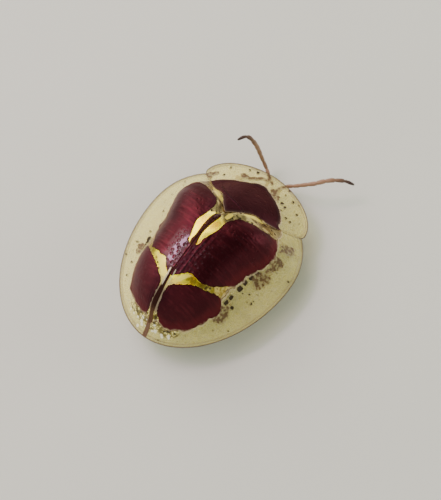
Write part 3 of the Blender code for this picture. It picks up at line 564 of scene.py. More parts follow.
class Nodes:
    """A node tree with short ways to add and join its nodes."""

    def __init__(self, tree, place):
        self.tree = tree
        self.place = self.node("TexCoord", {}, place)

    def feed(self, socket, value):
        """Link a socket to an output, or set it to a number, colour or direction."""
        if hasattr(value, "is_output"):
            self.tree.links.new(value, socket)
        elif isinstance(value, tuple) and socket.type == "RGBA":
            socket.default_value = (*value, 1)
        else:
            socket.default_value = value

    def node(self, kind, inputs, output=0, **settings):
        """Add a node with some inputs fed and its settings made, and give one output."""
        node = self.tree.nodes.new("ShaderNode" + kind)
        for key, setting in settings.items():
            setattr(node, key, setting)
        for key, value in inputs.items():
            self.feed(node.inputs[key], value)
        return node.outputs[output]

    def math(self, operation, first, *others):
        """One operation over a value, or over several from left to right."""
        if not others:
            return self.node("Math", {0: first}, operation=operation)
        for other in others:
            first = self.node("Math", {0: first, 1: other}, operation=operation)
        return first

    def times(self, *values):
        return self.math("MULTIPLY", *values)

    def plus(self, *values):
        return self.math("ADD", *values)

    def most(self, *values):
        return self.math("MAXIMUM", *values)

    def rest(self, share):
        return self.math("SUBTRACT", 1.0, share)

    def step(self, value, low, high, end=1.0, start=0.0):
        """A smooth step from start to end where a value goes from low to high."""
        return self.node("MapRange", dict(enumerate((value, low, high, start, end))),
                         interpolation_type="SMOOTHSTEP")


class Finish(Nodes):
    """A material whose textures are placed in the piece's own space."""

    def __init__(self, name):
        self.material = bpy.data.materials.new(name)
        self.material.use_nodes = True
        super().__init__(self.material.node_tree, "Object")
        self.shader = self.tree.nodes["Principled BSDF"]

    def set(self, **values):
        for key, value in values.items():
            name = key.replace("_", " ").title().replace("Ior", "IOR")
            self.feed(self.shader.inputs[name], value)

    def value(self, name):
        return self.node("Attribute", {}, "Fac", attribute_name=name)

    def vector(self, *values):
        return self.node("CombineXYZ", dict(enumerate(values)))

    def mix(self, share, first, second):
        return self.node("Mix", {"Factor": share, 6: first, 7: second}, 2, data_type="RGBA")

    def blend(self, share, first, second):
        return self.node("Mix", {"Factor": share, 2: first, 3: second})

    def layers(self, colour, *pairs):
        """A colour with (share, colour) layers laid over it, from the lowest up."""
        for share, layer in pairs:
            colour = self.mix(share, colour, layer)
        return colour

    def texture(self, kind, per_mm, vector, inputs, output, **settings):
        if vector is None:
            vector, per_mm = self.place, per_mm / MILLIMETRE
        return self.node(kind, {"Vector": vector, "Scale": per_mm, **inputs}, output, **settings)

    def noise(self, per_mm, detail=2.0, vector=None):
        return self.texture("TexNoise", per_mm, vector, {"Detail": detail}, "Fac")

    def cells(self, per_mm, feature="F1", vector=None, random=1.0):
        return self.texture("TexVoronoi", per_mm, vector, {"Randomness": random}, "Distance",
                            feature=feature)

    def waver(self, per_mm, detail, size):
        """A smooth unevenness about zero."""
        return self.times(self.math("SUBTRACT", self.noise(per_mm, detail), 0.5), size)

    def bump(self, height, depth_mm, *before):
        """A relief of the given depth, over another relief where one is given."""
        inputs = {"Height": height, "Distance": depth_mm * MILLIMETRE}
        return self.node("Bump", inputs | {"Normal": normal for normal in before})

    def glitter(self, colour, share):
        """Yellow and olive mottling with placed painted glints and dark pits."""
        scales = self.times(self.step(self.cells(7.5, "DISTANCE_TO_EDGE"), 0.03, 0.14),
                            self.step(self.noise(5, 2), 0.42, 0.54))
        mottle = self.mix(scales, (0.16, 0.125, 0.02), (1.0, 0.92, 0.3))
        shift = self.waver(14, 2, 0.05)
        pits, painted_tail_glints = (self.step(self.plus(self.value(name), shift), -0.015, 0.015)
                       for name in ("tail_pit", "tail_glint"))
        colour = self.layers(colour, (self.times(share, 0.95), mottle), (painted_tail_glints, (1.0, 1.0, 0.72)),
                             (pits, (0.07, 0.055, 0.018)))
        return colour, self.most(pits, painted_tail_glints)

    def see_through(self, filter_colour, cover):
        """Let what lies behind show through a colour filter where the cover is thin."""
        clear = self.node("BsdfTransparent", {"Color": filter_colour})
        both = self.node("MixShader", {0: cover, 1: clear, 2: self.shader.outputs[0]})
        self.feed(self.tree.nodes["Material Output"].inputs[0], both)


def maroon_colour(f, edge, pits, wrinkles, ridges, front):
    """Maroon of the patches, with a painted sheen on the outer left side and left rear, painted shade by
    the suture, at the front end, in the pits and on the outer slopes, and a painted reddish sheen at the
    very edge.
    """
    fore, across, outer, left = map(f.value, ("fore", "row_across", "from_edge", "left"))
    # Painted sheen: the left case's outer side is made paler and greyer
    painted_flank_sheen = f.times(f.step(outer, 0.6, 0.1, 0.22), f.step(fore, 5.1, 4.7), left,
                    f.step(fore, 2.4, 2.8))
    border = f.times(f.step(edge, 0.05, 0.015), f.step(outer, 0.1, 0.2), 0.7)
    return f.layers(f.mix(f.noise(1.5, 3), (0.038, 0.006, 0.009), (0.078, 0.0115, 0.016)),
                    (f.step(wrinkles, 0.45, 0.7, 0.4), (0.13, 0.02, 0.026)),
                    # Painted shade in the pits
                    (f.step(pits, 0.3, 0.1, 0.15), (0.05, 0.003, 0.006)),
                    # Painted sheen: the left case's rear maroon is made lighter
                    (f.times(left, f.step(fore, 2.8, 2.4, 0.4)), (0.15, 0.032, 0.042)),
                    # Painted shade: the maroon is darker by the suture
                    (f.step(across, 4.0, 1.0, 0.6), (0.015, 0.002, 0.006)),
                    (f.step(ridges, 0.5, 1.0, 0.25), (0.2, 0.035, 0.045)),
                    # Painted shade at the left case's front end, then the painted sheen on the outer
                    # left side
                    (front, (0.05, 0.005, 0.007)), (painted_flank_sheen, (0.35, 0.22, 0.2)),
                    # Painted shade: the maroon darkens towards the outer edges
                    (f.step(outer, 1.0, 0.35, 0.3), (0.02, 0.004, 0.006)),
                    # Painted reflection: a redder glow at the patches' outer edge
                    (f.step(outer, 0.28, 0.08, 0.45), (0.12, 0.013, 0.017)),
                    (border, (0.03, 0.009, 0.004)))


def gold_colour(f, ragged, basal, hollows):
    """Gold of the bands, and the share of it that carries painted highlights."""
    fore, across, tone = f.value("fore"), f.value("row_across"), f.noise(3.2, 3)
    shoulder = f.times(basal, f.step(across, 6.2, 8.2, 0.85))
    ends = f.times(f.step(fore, 3.4, 3.1), f.step(across, 4.6, 6.2, 0.85))
    folds = f.times(f.step(f.noise(4.5, 3), 0.5, 0.6), f.step(fore, 3.0, 2.8, 0.65))
    # Painted shade in the gold's pits
    pit_shade = f.times(f.step(hollows, 0.34, 0.2), f.step(f.noise(2.6), 0.42, 0.5),
                     f.value("band_pits"))
    # Painted highlights: the brightest yellow of the gold
    painted_gold_glint = f.step(f.plus(f.value("bright"), ragged), -0.02, 0.02)
    olive = f.mix(f.step(tone, 0.42, 0.62), (0.19, 0.155, 0.055), (0.68, 0.56, 0.2))
    brown = f.mix(f.step(f.noise(5, 2), 0.42, 0.58), (0.12, 0.085, 0.02), (0.5, 0.42, 0.15))
    gold = f.layers(f.mix(f.step(tone, 0.36, 0.55), (1.0, 0.64, 0.02), (1.0, 0.88, 0.03)),
                    (basal, olive), (shoulder, f.mix(tone, (0.15, 0.12, 0.05), (0.5, 0.43, 0.18))),
                    (ends, brown), (folds, (0.34, 0.26, 0.04)), (pit_shade, (0.05, 0.04, 0.015)),
                    (f.step(fore, 2.0, 1.7, 0.9), (0.62, 0.5, 0.17)),
                    (painted_gold_glint, f.mix(tone, (0.9, 0.66, 0.06), (1.0, 0.97, 0.18))),
                    (f.step(fore, 1.6, 1.4, 0.85), (0.20, 0.15, 0.13)),
                    (f.step(fore, 0.85, 0.7), (0.42, 0.34, 0.16)))
    return f.glitter(gold, f.step(fore, 0.8, 0.7))[0], painted_gold_glint


def wing_finish():
    """Maroon patches, gold bands and dark suture of the wing cases' back."""
    f = Finish("wing_case_back")
    fore, along, across = map(f.value, ("fore", "row_along", "row_across"))
    left, outer = f.value("left"), f.value("from_edge")
    in_strip = f.times(f.step(fore, 3.0, 3.3), f.step(fore, 5.0, 4.7))
    ragged = f.waver(8, 3, f.blend(in_strip, 0.11, 0.02))
    edge = f.plus(f.value("patch"), ragged)
    patch = f.step(edge, -0.012, 0.012)
    dark = f.step(f.value("stripe"), -0.012, 0.012)
    gold_share = f.times(f.rest(patch), f.rest(dark))
    dark_share = f.rest(gold_share)
    pits = f.cells(1.0, vector=f.vector(along, across, 0.3), random=0.6)
    hollows = f.cells(5.0)
    wrinkles = f.noise(1.0, 2, f.vector(f.times(along, 1.6), f.times(across, 0.35)))
    broken = f.step(f.noise(1.0, 2, f.vector(f.times(along, 0.25), across)), 0.4, 0.6)
    ridges = f.times(f.math("SINE", f.times(across, 5.7)), broken, f.step(across, 3.4, 2.0))
    # Where the left case's front end gets painted shade and a rougher surface
    front = f.times(f.step(fore, 5.1, 5.5), f.step(across, 2.5, 4.0, 0.7), left)
    basal = f.step(f.plus(fore, f.times(across, 0.1)), 4.75, 5.0)
    gold, painted_gold_glint = gold_colour(f, ragged, basal, hollows)
    pale_line = f.times(f.step(outer, 0.07, 0.03), f.step(edge, 0.06, 0.0), 0.6)
    colour = f.layers(gold, (patch, maroon_colour(f, edge, pits, wrinkles, ridges, front)),
                      (pale_line, (0.5, 0.4, 0.26)), (dark, (0.03, 0.009, 0.006)),
                      # Painted highlight: whitish streaks beside the dark stripe
                      (f.step(f.value("streak"), 0.01, 0.06, 0.6), (1.0, 0.95, 0.6)),
                      (f.times(f.step(fore, 0.95, 0.6), dark), (0.12, 0.06, 0.03)))
    glossy = f.times(f.step(across, 4.4, 2.8), f.step(across, 0.15, 0.4), dark_share,
                     f.rest(dark), f.step(fore, 2.0, 2.3), f.step(fore, 3.9, 3.3),
                     f.blend(left, 0.15, 1.0))
    # Less metallic where the painted highlights are and in the strips, so their yellow shows
    matt = f.times(f.most(painted_gold_glint, f.times(in_strip, 0.4)), gold_share)
    f.set(base_color=colour, metallic=f.blend(matt, 0.88, 0.45),
          roughness=f.blend(gold_share, f.blend(front, 0.42, 0.85), 0.24),
          specular_ior_level=0.2, specular_tint=(1.0, 0.82, 0.84),
          coat_weight=f.blend(glossy, 0.02, 0.85), coat_roughness=0.06)
    creases = f.times(wrinkles, dark_share)
    dimples = f.bump(f.times(f.step(pits, 0.05, 0.45), dark_share), 0.003)
    folds = f.bump(creases, 0.02, f.bump(f.times(ridges, dark_share), 0.004, dimples))
    f.set(normal=f.bump(f.times(f.step(hollows, 0.05, 0.3), basal), 0.012, folds),
          coat_normal=f.bump(f.step(pits, 0.06, 0.48), 0.036, f.bump(creases, 0.003)))
    return f.material


def margin_finish():
    """Clear pale yellow edge with a brown rim line, fine pits and gold flecks."""
    f = Finish("clear_cuticle")
    disc, rim = f.value("from_disc"), f.value("rim")
    shift = f.waver(11, 3, 0.12)
    dots = f.cells(5.2)
    tint = f.layers(f.mix(f.noise(1.1, 3), (0.88, 0.78, 0.24), (1.0, 0.93, 0.36)),
                    (f.step(f.noise(1.8, 4), 0.5, 0.7, 0.35), (0.5, 0.43, 0.2)),
                    (f.step(f.cells(5.2, "DISTANCE_TO_EDGE"), 0.07, 0.0, 0.5),
                     (1.0, 0.93, 0.66)))
    sparse = f.step(f.plus(f.noise(2.6), f.step(disc, 0.9, 0.1, 0.14)), 0.54, 0.6)
    dark = f.most(f.step(f.plus(f.value("speck"), shift), -0.015, 0.025),
                  f.times(f.step(dots, 0.22, 0.14), sparse, 0.55))
    inner_line = f.step(f.math("ABSOLUTE", f.math("SUBTRACT", rim, 0.1)), 0.03, 0.01, 0.6)
    line = f.most(f.step(rim, 0.05, 0.02), inner_line)
    seam = f.step(f.value("seam"), 0.11, 0.08)
    brown = f.times(f.step(f.plus(f.value("brown"), shift), -0.065, -0.01),
                    f.step(f.noise(8, 3), 0.34, 0.55, start=0.55))
    shine = f.step(f.plus(f.value("glitter"), f.times(f.noise(4, 3), 0.8)), 0.75, 1.05)
    colour = f.layers(tint, (dark, (0.04, 0.026, 0.01)), (line, (0.17, 0.12, 0.075)))
    colour, flecks = f.glitter(colour, shine)
    shine = f.most(shine, flecks)
    pale = f.times(f.step(disc, 0.05, 0.02, 0.7), f.rest(shine))
    colour = f.layers(colour, (pale, (0.5, 0.38, 0.24)),
                      (brown, f.mix(f.noise(6, 2), (0.065, 0.038, 0.014), (0.23, 0.14, 0.06))),
                      (seam, (0.16, 0.085, 0.045)))
    solid = f.most(dark, f.times(line, 0.85), f.times(shine, 0.8), pale, seam, brown)
    f.set(base_color=colour, roughness=f.blend(dark, 0.25, 0.8), specular_ior_level=0.22,
          normal=f.bump(f.step(dots, 0.05, 0.35), 0.012, f.bump(f.noise(5, 2), 0.01)))
    f.see_through((1.0, 0.985, 0.73), f.blend(solid, 0.3, 1.0))
    return f.material


def shield_finish():
    """Dark maroon back of the pronotum, with painted shade in its pits and its crease."""
    f = Finish("pronotum_back")
    edge, crease, pits = f.value("from_disc"), f.value("crease"), f.cells(6.5)
    faded = f.step(f.plus(edge, f.waver(9, 2, 0.05)), 0.16, 0.05, 0.6)
    colour = f.layers(f.mix(f.noise(2.2, 3), (0.022, 0.0052, 0.007), (0.05, 0.0115, 0.0145)),
                      # Painted shade in the pits
                      (f.step(pits, 0.3, 0.1, 0.4), (0.04, 0.005, 0.008)),
                      # Painted shade along the crease
                      (f.times(crease, 0.85), (0.014, 0.003, 0.006)), (faded, (0.06, 0.035, 0.03)),
                      (f.step(edge, 0.035, 0.012, 0.6), (0.34, 0.26, 0.17)))
    folds = f.bump(crease, 0.05, f.bump(f.noise(5, 2), 0.02))
    f.set(base_color=colour, metallic=0.88, roughness=0.45, specular_ior_level=0.15,
          specular_tint=(0.9, 0.6, 0.62), coat_weight=0.02, coat_roughness=0.25,
          normal=f.bump(f.step(pits, 0.05, 0.35), 0.008, folds))
    return f.material


def cuticle_finish(name, dark, light, roughness=0.35):
    """Brown cuticle with mottling and fine pits, with painted shade in the pits."""
    f = Finish(name)
    pits = f.cells(11)
    colour = f.layers(f.mix(f.step(f.noise(3.0, 4), 0.3, 0.7), dark, light),
                      # Painted shade in the pits
                      (f.step(pits, 0.28, 0.08, 0.35), tuple(c * 0.4 for c in dark)))
    f.set(base_color=colour, roughness=roughness, coat_weight=0.15, coat_roughness=0.2,
          normal=f.bump(f.step(pits, 0.05, 0.3), 0.004, f.bump(f.noise(9, 3), 0.006)))
    return f.material


def scutellum_finish():
    """Dark brown triangle, olive where it goes under the pronotum."""
    f = Finish("scutellum_dark")
    olive = f.mix(f.noise(4), (0.30, 0.26, 0.08), (0.75, 0.65, 0.25))
    colour = f.layers(f.mix(f.noise(5, 3), (0.04, 0.01, 0.008), (0.07, 0.02, 0.014)),
                      (f.step(f.value("fore"), 4.95, 5.0), olive))
    f.set(base_color=colour, metallic=0.6, roughness=0.45, coat_weight=0.15,
          normal=f.bump(f.noise(8, 2), 0.006))
    return f.material


def antenna_finish():
    """Light brown joints, darker at the root and towards the tip."""
    f = Finish("antenna_brown")
    tip = f.value("along")
    colour = f.layers(f.mix(f.noise(10, 3), (0.27, 0.14, 0.065), (0.42, 0.25, 0.13)),
                      (f.step(tip, 0.25, 0.17), (0.13, 0.06, 0.025)),
                      (f.step(tip, 0.7, 0.97), (0.045, 0.022, 0.014)))
    f.set(base_color=colour, roughness=0.5, normal=f.bump(f.noise(28, 2), 0.006))
    return f.material


def eye_finish():
    """Black eye with fine facets."""
    f = Finish("eye_black")
    facets = f.cells(26, "DISTANCE_TO_EDGE", random=0.25)
    colour = f.mix(f.step(facets, 0.0, 0.12), (0.02, 0.014, 0.012), (0.006, 0.005, 0.006))
    f.set(base_color=colour, roughness=0.16, coat_weight=0.4, coat_roughness=0.05,
          normal=f.bump(f.step(facets, 0.0, 0.16), 0.003))
    return f.material


def row_values(fore, side, sign):
    """Coordinates that follow the rows of pits along a wing case."""
    disc_side = np.interp(fore, *dense(ROWS_SIDE))
    across = np.abs(side) / np.maximum(disc_side, ROWS_SIDE[0][1]) * ROWS_OF_PITS
    return fore / PIT_SPACING + sign * ROW_SHIFT, across


def spot_depth(fore, side, height, spots):
    """How deep each place lies inside the nearest of some nearly square spots."""
    depth = np.full(fore.shape, -FAR)
    up = height(fore, side)
    for spot_fore, spot_side, radius in spots:
        away = np.abs(fore - spot_fore) ** 3 + np.abs(side - spot_side) ** 3
        away = away + np.abs(up - height(spot_fore, spot_side)) ** 3
        depth = np.maximum(depth, radius - away ** (1 / 3))
    return depth


def patch_depth(fore, side, loops):
    """How deep each place lies inside the nearest of some closed curves."""
    depth = np.full(fore.shape, -FAR)
    for loop in map(closed_curve, loops):
        sign = np.where(inside(fore, side, loop), 1, -1)
        depth = np.maximum(depth, sign * line_distance(fore, side, loop))
    return depth


def tail_marks(fore, side):
    """How deep each place lies inside the tail's dark pits and its painted glints."""
    return {"tail_pit": spot_depth(fore, side, case_height, TAIL_PITS),
            "tail_glint": spot_depth(fore, side, case_height, TAIL_GLINTS)}


def tucked(behind):
    """Share of the full dip under the pronotum, at a distance behind the shell's front end."""
    share = np.clip((behind - CASE_TUCK) / TUCK_FALL, 0, 1)
    return 1 - share ** 2 * (3 - 2 * share)


def case_outline(edge_line, sign):
    """Angles about the crown, the reach of the disc and of the whole case, and the corner."""
    angles = np.linspace(0, 180, CASE_COLUMNS)
    hind = [(fore + CASE_TUCK, side) for fore, side in reversed(PRONOTUM_HIND)]
    corner = math.degrees(math.atan2(hind[-1][1], hind[-1][0] - CROWN_FORE))
    front = np.where(angles > corner + CORNER_SLACK, FAR, ray_reach(hind, CROWN_FORE, angles))
    outer = np.minimum(np.interp(angles, *RIM_TABLE), front)
    near_corner = np.exp(-((angles - corner) / CORNER_SPREAD) ** 2)
    outer = outer + (smoothed(outer, 4, "edge") - outer) * near_corner
    folded = [(fore, abs(side)) for fore, side in edge_line]
    start = math.degrees(math.atan2(folded[0][1], folded[0][0] - CROWN_FORE))
    inner = ray_reach(folded, CROWN_FORE, angles) + wobble(angles, CASE_WOBBLE, 5 + sign)
    return angles, np.minimum(np.where(angles < start, FAR, inner), outer), outer, corner


def add_back_and_margin(name, surface, inner, outer, closed, finishes, on_back, on_margin):
    """The dark back, from the middle to its edge, and the clear margin beyond it."""
    rows = np.linspace(LEAST, 1, DISC_ROWS)
    fore, side, up = surface(inner[:, None] * rows)
    add_shell(name + "_back", (fore, side, up), closed,
              on_back(fore, side, inner[:, None] * (1 - rows)), DISC_THICKNESS, finishes[0],
              "wing_case", name)
    wide = np.flatnonzero(outer - inner > LEAST)
    width = (outer - inner)[:, None]
    shares = np.linspace(0, 1, MARGIN_ROWS)
    fore, side, up = (grid[wide] for grid in surface(inner[:, None] + width * shares))
    from_disc = (width * shares)[wide]
    values = {"rim": (width * (1 - shares))[wide], "from_disc": from_disc}
    add_shell(name + "_margin", (fore, side, up), False,
              values | on_margin(fore, side, from_disc), MARGIN_THICKNESS, finishes[1],
              "clear_margin", name)


def add_wing_case(name, sign, edge_line, patches, finishes):
    """The dark back and the clear margin of one wing case."""
    angles, inner, outer, corner = case_outline(edge_line, sign)
    ends = polar(CROWN_FORE, outer, angles)
    drop = np.maximum(case_height(*ends) - pronotum_height(*ends) + UNDER_GAP, 0)
    drop = drop * np.clip((corner + 1 - angles) / CORNER_FADE, 0, 1)

    def surface(radius):
        fore, side = polar(CROWN_FORE, radius, angles[:, None])
        up = case_height(fore, side) - drop[:, None] * tucked(outer[:, None] - radius)
        return fore, sign * side, up - SUTURE_DEPTH * np.exp(-(side / SUTURE_HALF) ** 2)

    def on_back(fore, side, from_edge):
        along, across = row_values(fore, side, sign)
        from_stripe = np.abs(side - np.interp(fore, *dense(STRIPE_MIDDLE)))
        return {"fore": fore, "row_along": along, "row_across": across, "from_edge": from_edge,
                "left": np.full(fore.shape, float(sign < 0)),
                "patch": patch_depth(fore, side, patches),
                "stripe": np.interp(fore, *dense(STRIPE_HALF)) - from_stripe,
                "bright": patch_depth(fore, side, PAINTED_GLINT_MARKS),
                "streak": patch_depth(fore, side, STREAKS),
                "band_pits": np.select([fore > BASE_FORE, fore > STRIP_FORE], PIT_SHARES[:2],
                                       PIT_SHARES[2]),
                **tail_marks(fore, side)}

    def on_margin(fore, side, from_disc):
        fades = [np.clip((end - place) / fall, 0, 1)
                 for place, (end, fall) in zip((fore, np.abs(side), from_disc), TAIL_GOLD)]
        return {"speck": spot_depth(fore, side, case_height, MARGIN_PITS),
                "glitter": np.prod(fades, axis=0), "seam": np.abs(side),
                "brown": patch_depth(fore, side, BROWN_MARKS), **tail_marks(fore, side)}

    add_back_and_margin(name, surface, inner, outer, False, finishes, on_back, on_margin)


def pronotum_outline():
    """The pronotum's edge, from the middle of its hind end by one side to its tip."""
    front = []
    for i in range(PRONOTUM_STEPS):
        share = math.sin(math.pi / 2 * i / PRONOTUM_STEPS)
        fore = PRONOTUM_CORNER[0] + (PRONOTUM_TIP - PRONOTUM_CORNER[0]) * share
        width = PRONOTUM_CORNER[1] * (1 - share ** PRONOTUM_POWER) ** (1 / PRONOTUM_POWER)
        front.append((fore, width))
    return [*reversed(PRONOTUM_HIND), *front, (PRONOTUM_TIP, 0.0)]


def add_pronotum(finishes):
    """The dark back and the clear margin of the pronotum."""
    angles = np.linspace(-180, 180, SHIELD_COLUMNS, endpoint=False)
    folded = np.abs(angles)
    outer = np.interp(folded, *bearings(pronotum_outline(), PRONOTUM_CENTRE))
    at_corner = (folded > SHIELD_CORNER[0]) & (folded < SHIELD_CORNER[1])
    outer = np.where(at_corner, smoothed(outer, 3, "wrap"), outer)
    inner = ray_reach(SHIELD_EDGE, PRONOTUM_CENTRE, angles) + wobble(angles, SHIELD_WOBBLE, 3)
    traced = bearings(SHIELD_EDGE, PRONOTUM_CENTRE)[0]
    within = (angles > traced[0]) & (angles < traced[-1])
    inner = np.minimum(np.where(within, inner, FAR), outer)

    def surface(radius):
        fore, side = polar(PRONOTUM_CENTRE, radius, angles[:, None])
        return fore, side, pronotum_height(fore, side)

    def on_back(fore, side, from_edge):
        crease = line_distance(fore, side, route_through(PRONOTUM_CREASE, 6))
        return {"from_disc": from_edge, "crease": np.exp(-(crease / CREASE_WIDTH) ** 2)}

    def on_margin(fore, side, from_disc):
        far = np.full(fore.shape, FAR)
        brown = np.maximum(spot_depth(fore, side, pronotum_height, CORNER_SPOTS),
                           patch_depth(fore, side, PRONOTUM_MARKS))
        return {"speck": spot_depth(fore, side, pronotum_height, PRONOTUM_PITS), "brown": brown,
                "glitter": 0 * far, "seam": far, "tail_pit": -far, "tail_glint": -far}

    add_back_and_margin("pronotum", surface, inner, outer, True, finishes, on_back, on_margin)


def add_scutellum(material):
    """The small dark triangle between the wing cases' bases."""
    front = PRONOTUM_HIND[-1][0] + CASE_TUCK
    low = case_height(front, 0.0) - pronotum_height(front, 0.0) + UNDER_GAP
    across = np.linspace(-1, 1, 25)[:, None]
    share = np.linspace(0, 1, 26) + 0 * across
    fore = SCUTELLUM_TIP + (SCUTELLUM_BASE - SCUTELLUM_TIP) * share
    side = (SCUTELLUM_HALF * share ** 0.85 + LEAST) * across
    up = case_height(fore, side) - low * tucked(front - fore)
    up = up + SCUTELLUM_CROWN * (1 - across ** 4) - LEAST
    add_shell("scutellum_plate", (fore, side, up), False, {"fore": fore}, SCUTELLUM_THICKNESS,
              material, "dark_cuticle", "scutellum")


def face_outwards(mesh, fill=False):
    """Turn a closed mesh's faces outwards, with its open ends filled first where asked."""
    bm = bmesh.new()
    bm.from_mesh(mesh)
    if fill:
        bmesh.ops.holes_fill(bm, edges=[e for e in bm.edges if e.is_boundary])
    bmesh.ops.recalc_face_normals(bm, faces=bm.faces)
    bm.to_mesh(mesh)
    bm.free()


def section_ring(fore, half_width, top, belly, points=64):
    """One cross-section of the body: a round back over a flatter belly."""
    turns = np.linspace(0, 2 * math.pi, points, endpoint=False)
    back = np.sin(turns) >= 0
    power = np.where(back, 2.0, BELLY_POWER)
    reach = np.sign(np.cos(turns)) * np.abs(np.cos(turns)) ** (2 / power)
    lift = np.abs(np.sin(turns)) ** (2 / power)
    end = np.where(back, top - SECTION_MIDDLE, belly - SECTION_MIDDLE)
    return np.stack([np.full(points, fore), half_width * reach, SECTION_MIDDLE + lift * end], 1)


def body_part(name, sections, material, slot, node, belly_shape):
    """A smooth length of the body through its sections, with relief on its belly."""
    tables = [dense([(s[0], s[k]) for s in sections]) for k in (1, 2, 3)]
    rings = []
    for fore in np.linspace(sections[0][0], sections[-1][0], BODY_STEPS):
        half_width, top, belly = (float(np.interp(fore, *table)) for table in tables)
        ring = section_ring(fore, max(half_width, 0.02), top, belly)
        under = np.clip((SECTION_MIDDLE - ring[:, 2]) / (SECTION_MIDDLE - belly), 0, 1)
        ring[:, 2] += under * belly_shape(fore, ring[:, 1])
        rings.append(ring)
    places = spot_array(*np.array(rings).transpose(2, 1, 0))
    thing = grid_object(name, places, True, {})
    face_outwards(thing.data, fill=True)
    dress(thing, material, slot, node)


def ventrites(fore, side):
    """How the belly plates lap over one another."""
    rise = 0.0
    for joint in VENTRITE_JOINTS:
        bend = joint + PLATE_BEND * side ** 2
        for height, ahead, half in PLATE_RELIEF:
            rise = rise + height * np.exp(-((fore - bend - ahead) / half) ** 2)
    return rise


def breast(fore, side):
    """The middle groove and the seam of the breast plates."""
    depth, half = BREAST_GROOVE
    seam = fore - BREAST_SEAM + SEAM_LEAN * np.abs(side)
    return depth * (np.exp(-(side / half) ** 2) + np.exp(-(seam / half) ** 2))


def joined_object(name, parts):
    """One object from several (points, faces, values) lists."""
    points, faces, values = [], [], []
    for some_points, some_faces, some_values in parts:
        base = len(points)
        points += some_points
        faces += [tuple(base + i for i in face) for face in some_faces]
        values += some_values
    mesh = bpy.data.meshes.new(name)
    mesh.from_pydata([tuple(p) for p in points], [], faces)
    mesh.attributes.new("along", "FLOAT", "POINT").data.foreach_set("value", values)
    mesh.shade_smooth()
    face_outwards(mesh)
    return placed(name, mesh)


def turns(around):
    """Angles that share a full turn evenly."""
    return [2 * math.pi * k / around for k in range(around)]


def strips(rings, around):
    """Four-sided faces between rings of points that lie one after another."""
    faces = []
    for start in range(0, (rings - 1) * around, around):
        for k in range(around):
            here, after = start + k, start + (k + 1) % around
            faces.append((here, after, after + around, here + around))
    return faces


def tube(route, radii, around=20, values=None, flat=1.0):
    """A closed tube along places on the beetle, as (points, faces, values)."""
    points, marks = [], []
    last = len(route) - 1
    values = values or [0.0] * len(route)
    side_way = None
    for i, (place, radius) in enumerate(zip(route, radii)):
        way = (route[min(i + 1, last)] - route[max(i - 1, 0)]).normalized()
        if side_way is None:
            start = Vector((0, 0, 1)) if abs(way.z) < 0.9 else Vector((1, 0, 0))
            side_way = way.cross(start).normalized()
        side_way = (side_way - way * side_way.dot(way)).normalized()
        up_way = side_way.cross(way).normalized()
        for turn in turns(around):
            rim = side_way * math.cos(turn) * radius + up_way * math.sin(turn) * radius * flat
            points.append(spot(*(place + rim)))
            marks.append(values[i])
    faces = strips(len(route), around)
    for end in (0, last):
        heart = len(points)
        points.append(spot(*route[end]))
        marks.append(values[end])
        faces += [(heart, end * around + k, end * around + (k + 1) % around)
                  for k in range(around)]
    return points, faces, marks


def ellipsoid(centre, radii, around=32, rings=20):
    """A closed ellipsoid as (points, faces, values)."""
    points = []
    for i in range(rings + 1):
        tilt = math.pi * i / rings
        for turn in turns(around):
            ways = (math.sin(tilt) * math.cos(turn), math.sin(tilt) * math.sin(turn),
                    -math.cos(tilt))
            points.append(spot(*(c + r * way for c, r, way in zip(centre, radii, ways))))
    return points, strips(rings + 1, around), [0.0] * len(points)


def hair(root, way, length, radius):
    """A fine bristle as (points, faces, values)."""
    side_way = way.cross(Vector((0.31, 0.57, 0.76))).normalized()
    up_way = way.cross(side_way).normalized()
    ring = [root + (side_way * math.cos(a) + up_way * math.sin(a)) * radius
            for a in (0, 2.094, 4.189)]
    points = [spot(*p) for p in ring] + [spot(*(root + way * length))]
    return points, [(0, 1, 3), (1, 2, 3), (2, 0, 3), (0, 2, 1)], [0.0] * 4


def outward(draw, way):
    """A direction drawn at random, square to a limb's way."""
    lean = Vector(draw.normal(size=3))
    return (lean - way * lean.dot(way)).normalized()


def add_antenna(name, route, material, slot):
    """One antenna of eleven joints along its route, with short hairs."""
    path = route_through(route, 10)
    lengths = [0.0]
    for here, there in zip(path, path[1:]):
        lengths.append(lengths[-1] + (there - here).length)

    def place_at(share):
        distance = min(share, 1) * lengths[-1]
        i = next(k for k in range(1, len(path)) if lengths[k] >= distance - 1e-9)
        return path[i - 1].lerp(path[i], (distance - lengths[i - 1])
                                / (lengths[i] - lengths[i - 1]))

    whole = sum(length for length, _ in ANTENNA_JOINTS)
    knots, radii, marks, hairs = [], [], [], []
    draw = np.random.default_rng(11)
    start = 0.0
    for length, radius in ANTENNA_JOINTS:
        last = (length, radius) == ANTENNA_JOINTS[-1]
        for share, swell in ANTENNA_SWELLS:
            if last and share > 0.5:
                swell *= math.sqrt(max(1 - ((share - 0.4) / 0.6) ** 2, 0.02))
            along = (start + length * share) / whole
            knots.append(place_at(along))
            radii.append(radius * swell)
            marks.append(along)
            if share in (ANTENNA_SWELLS[0][0], ANTENNA_SWELLS[-1][0]):
                continue
            way = (place_at(along + 0.01) - place_at(along - 0.01)).normalized()
            for _ in range(ANTENNA_HAIRS):
                lean = outward(draw, way)
                root = knots[-1] + lean * radius * swell * 0.9
                hairs.append(hair(root, (lean * 0.6 + way * 0.8).normalized(), *ANTENNA_HAIR))
        start += length
    parts = [tube(knots, radii, 18, marks), *hairs]
    dress(joined_object(name + "_joints", parts), material, slot, name)


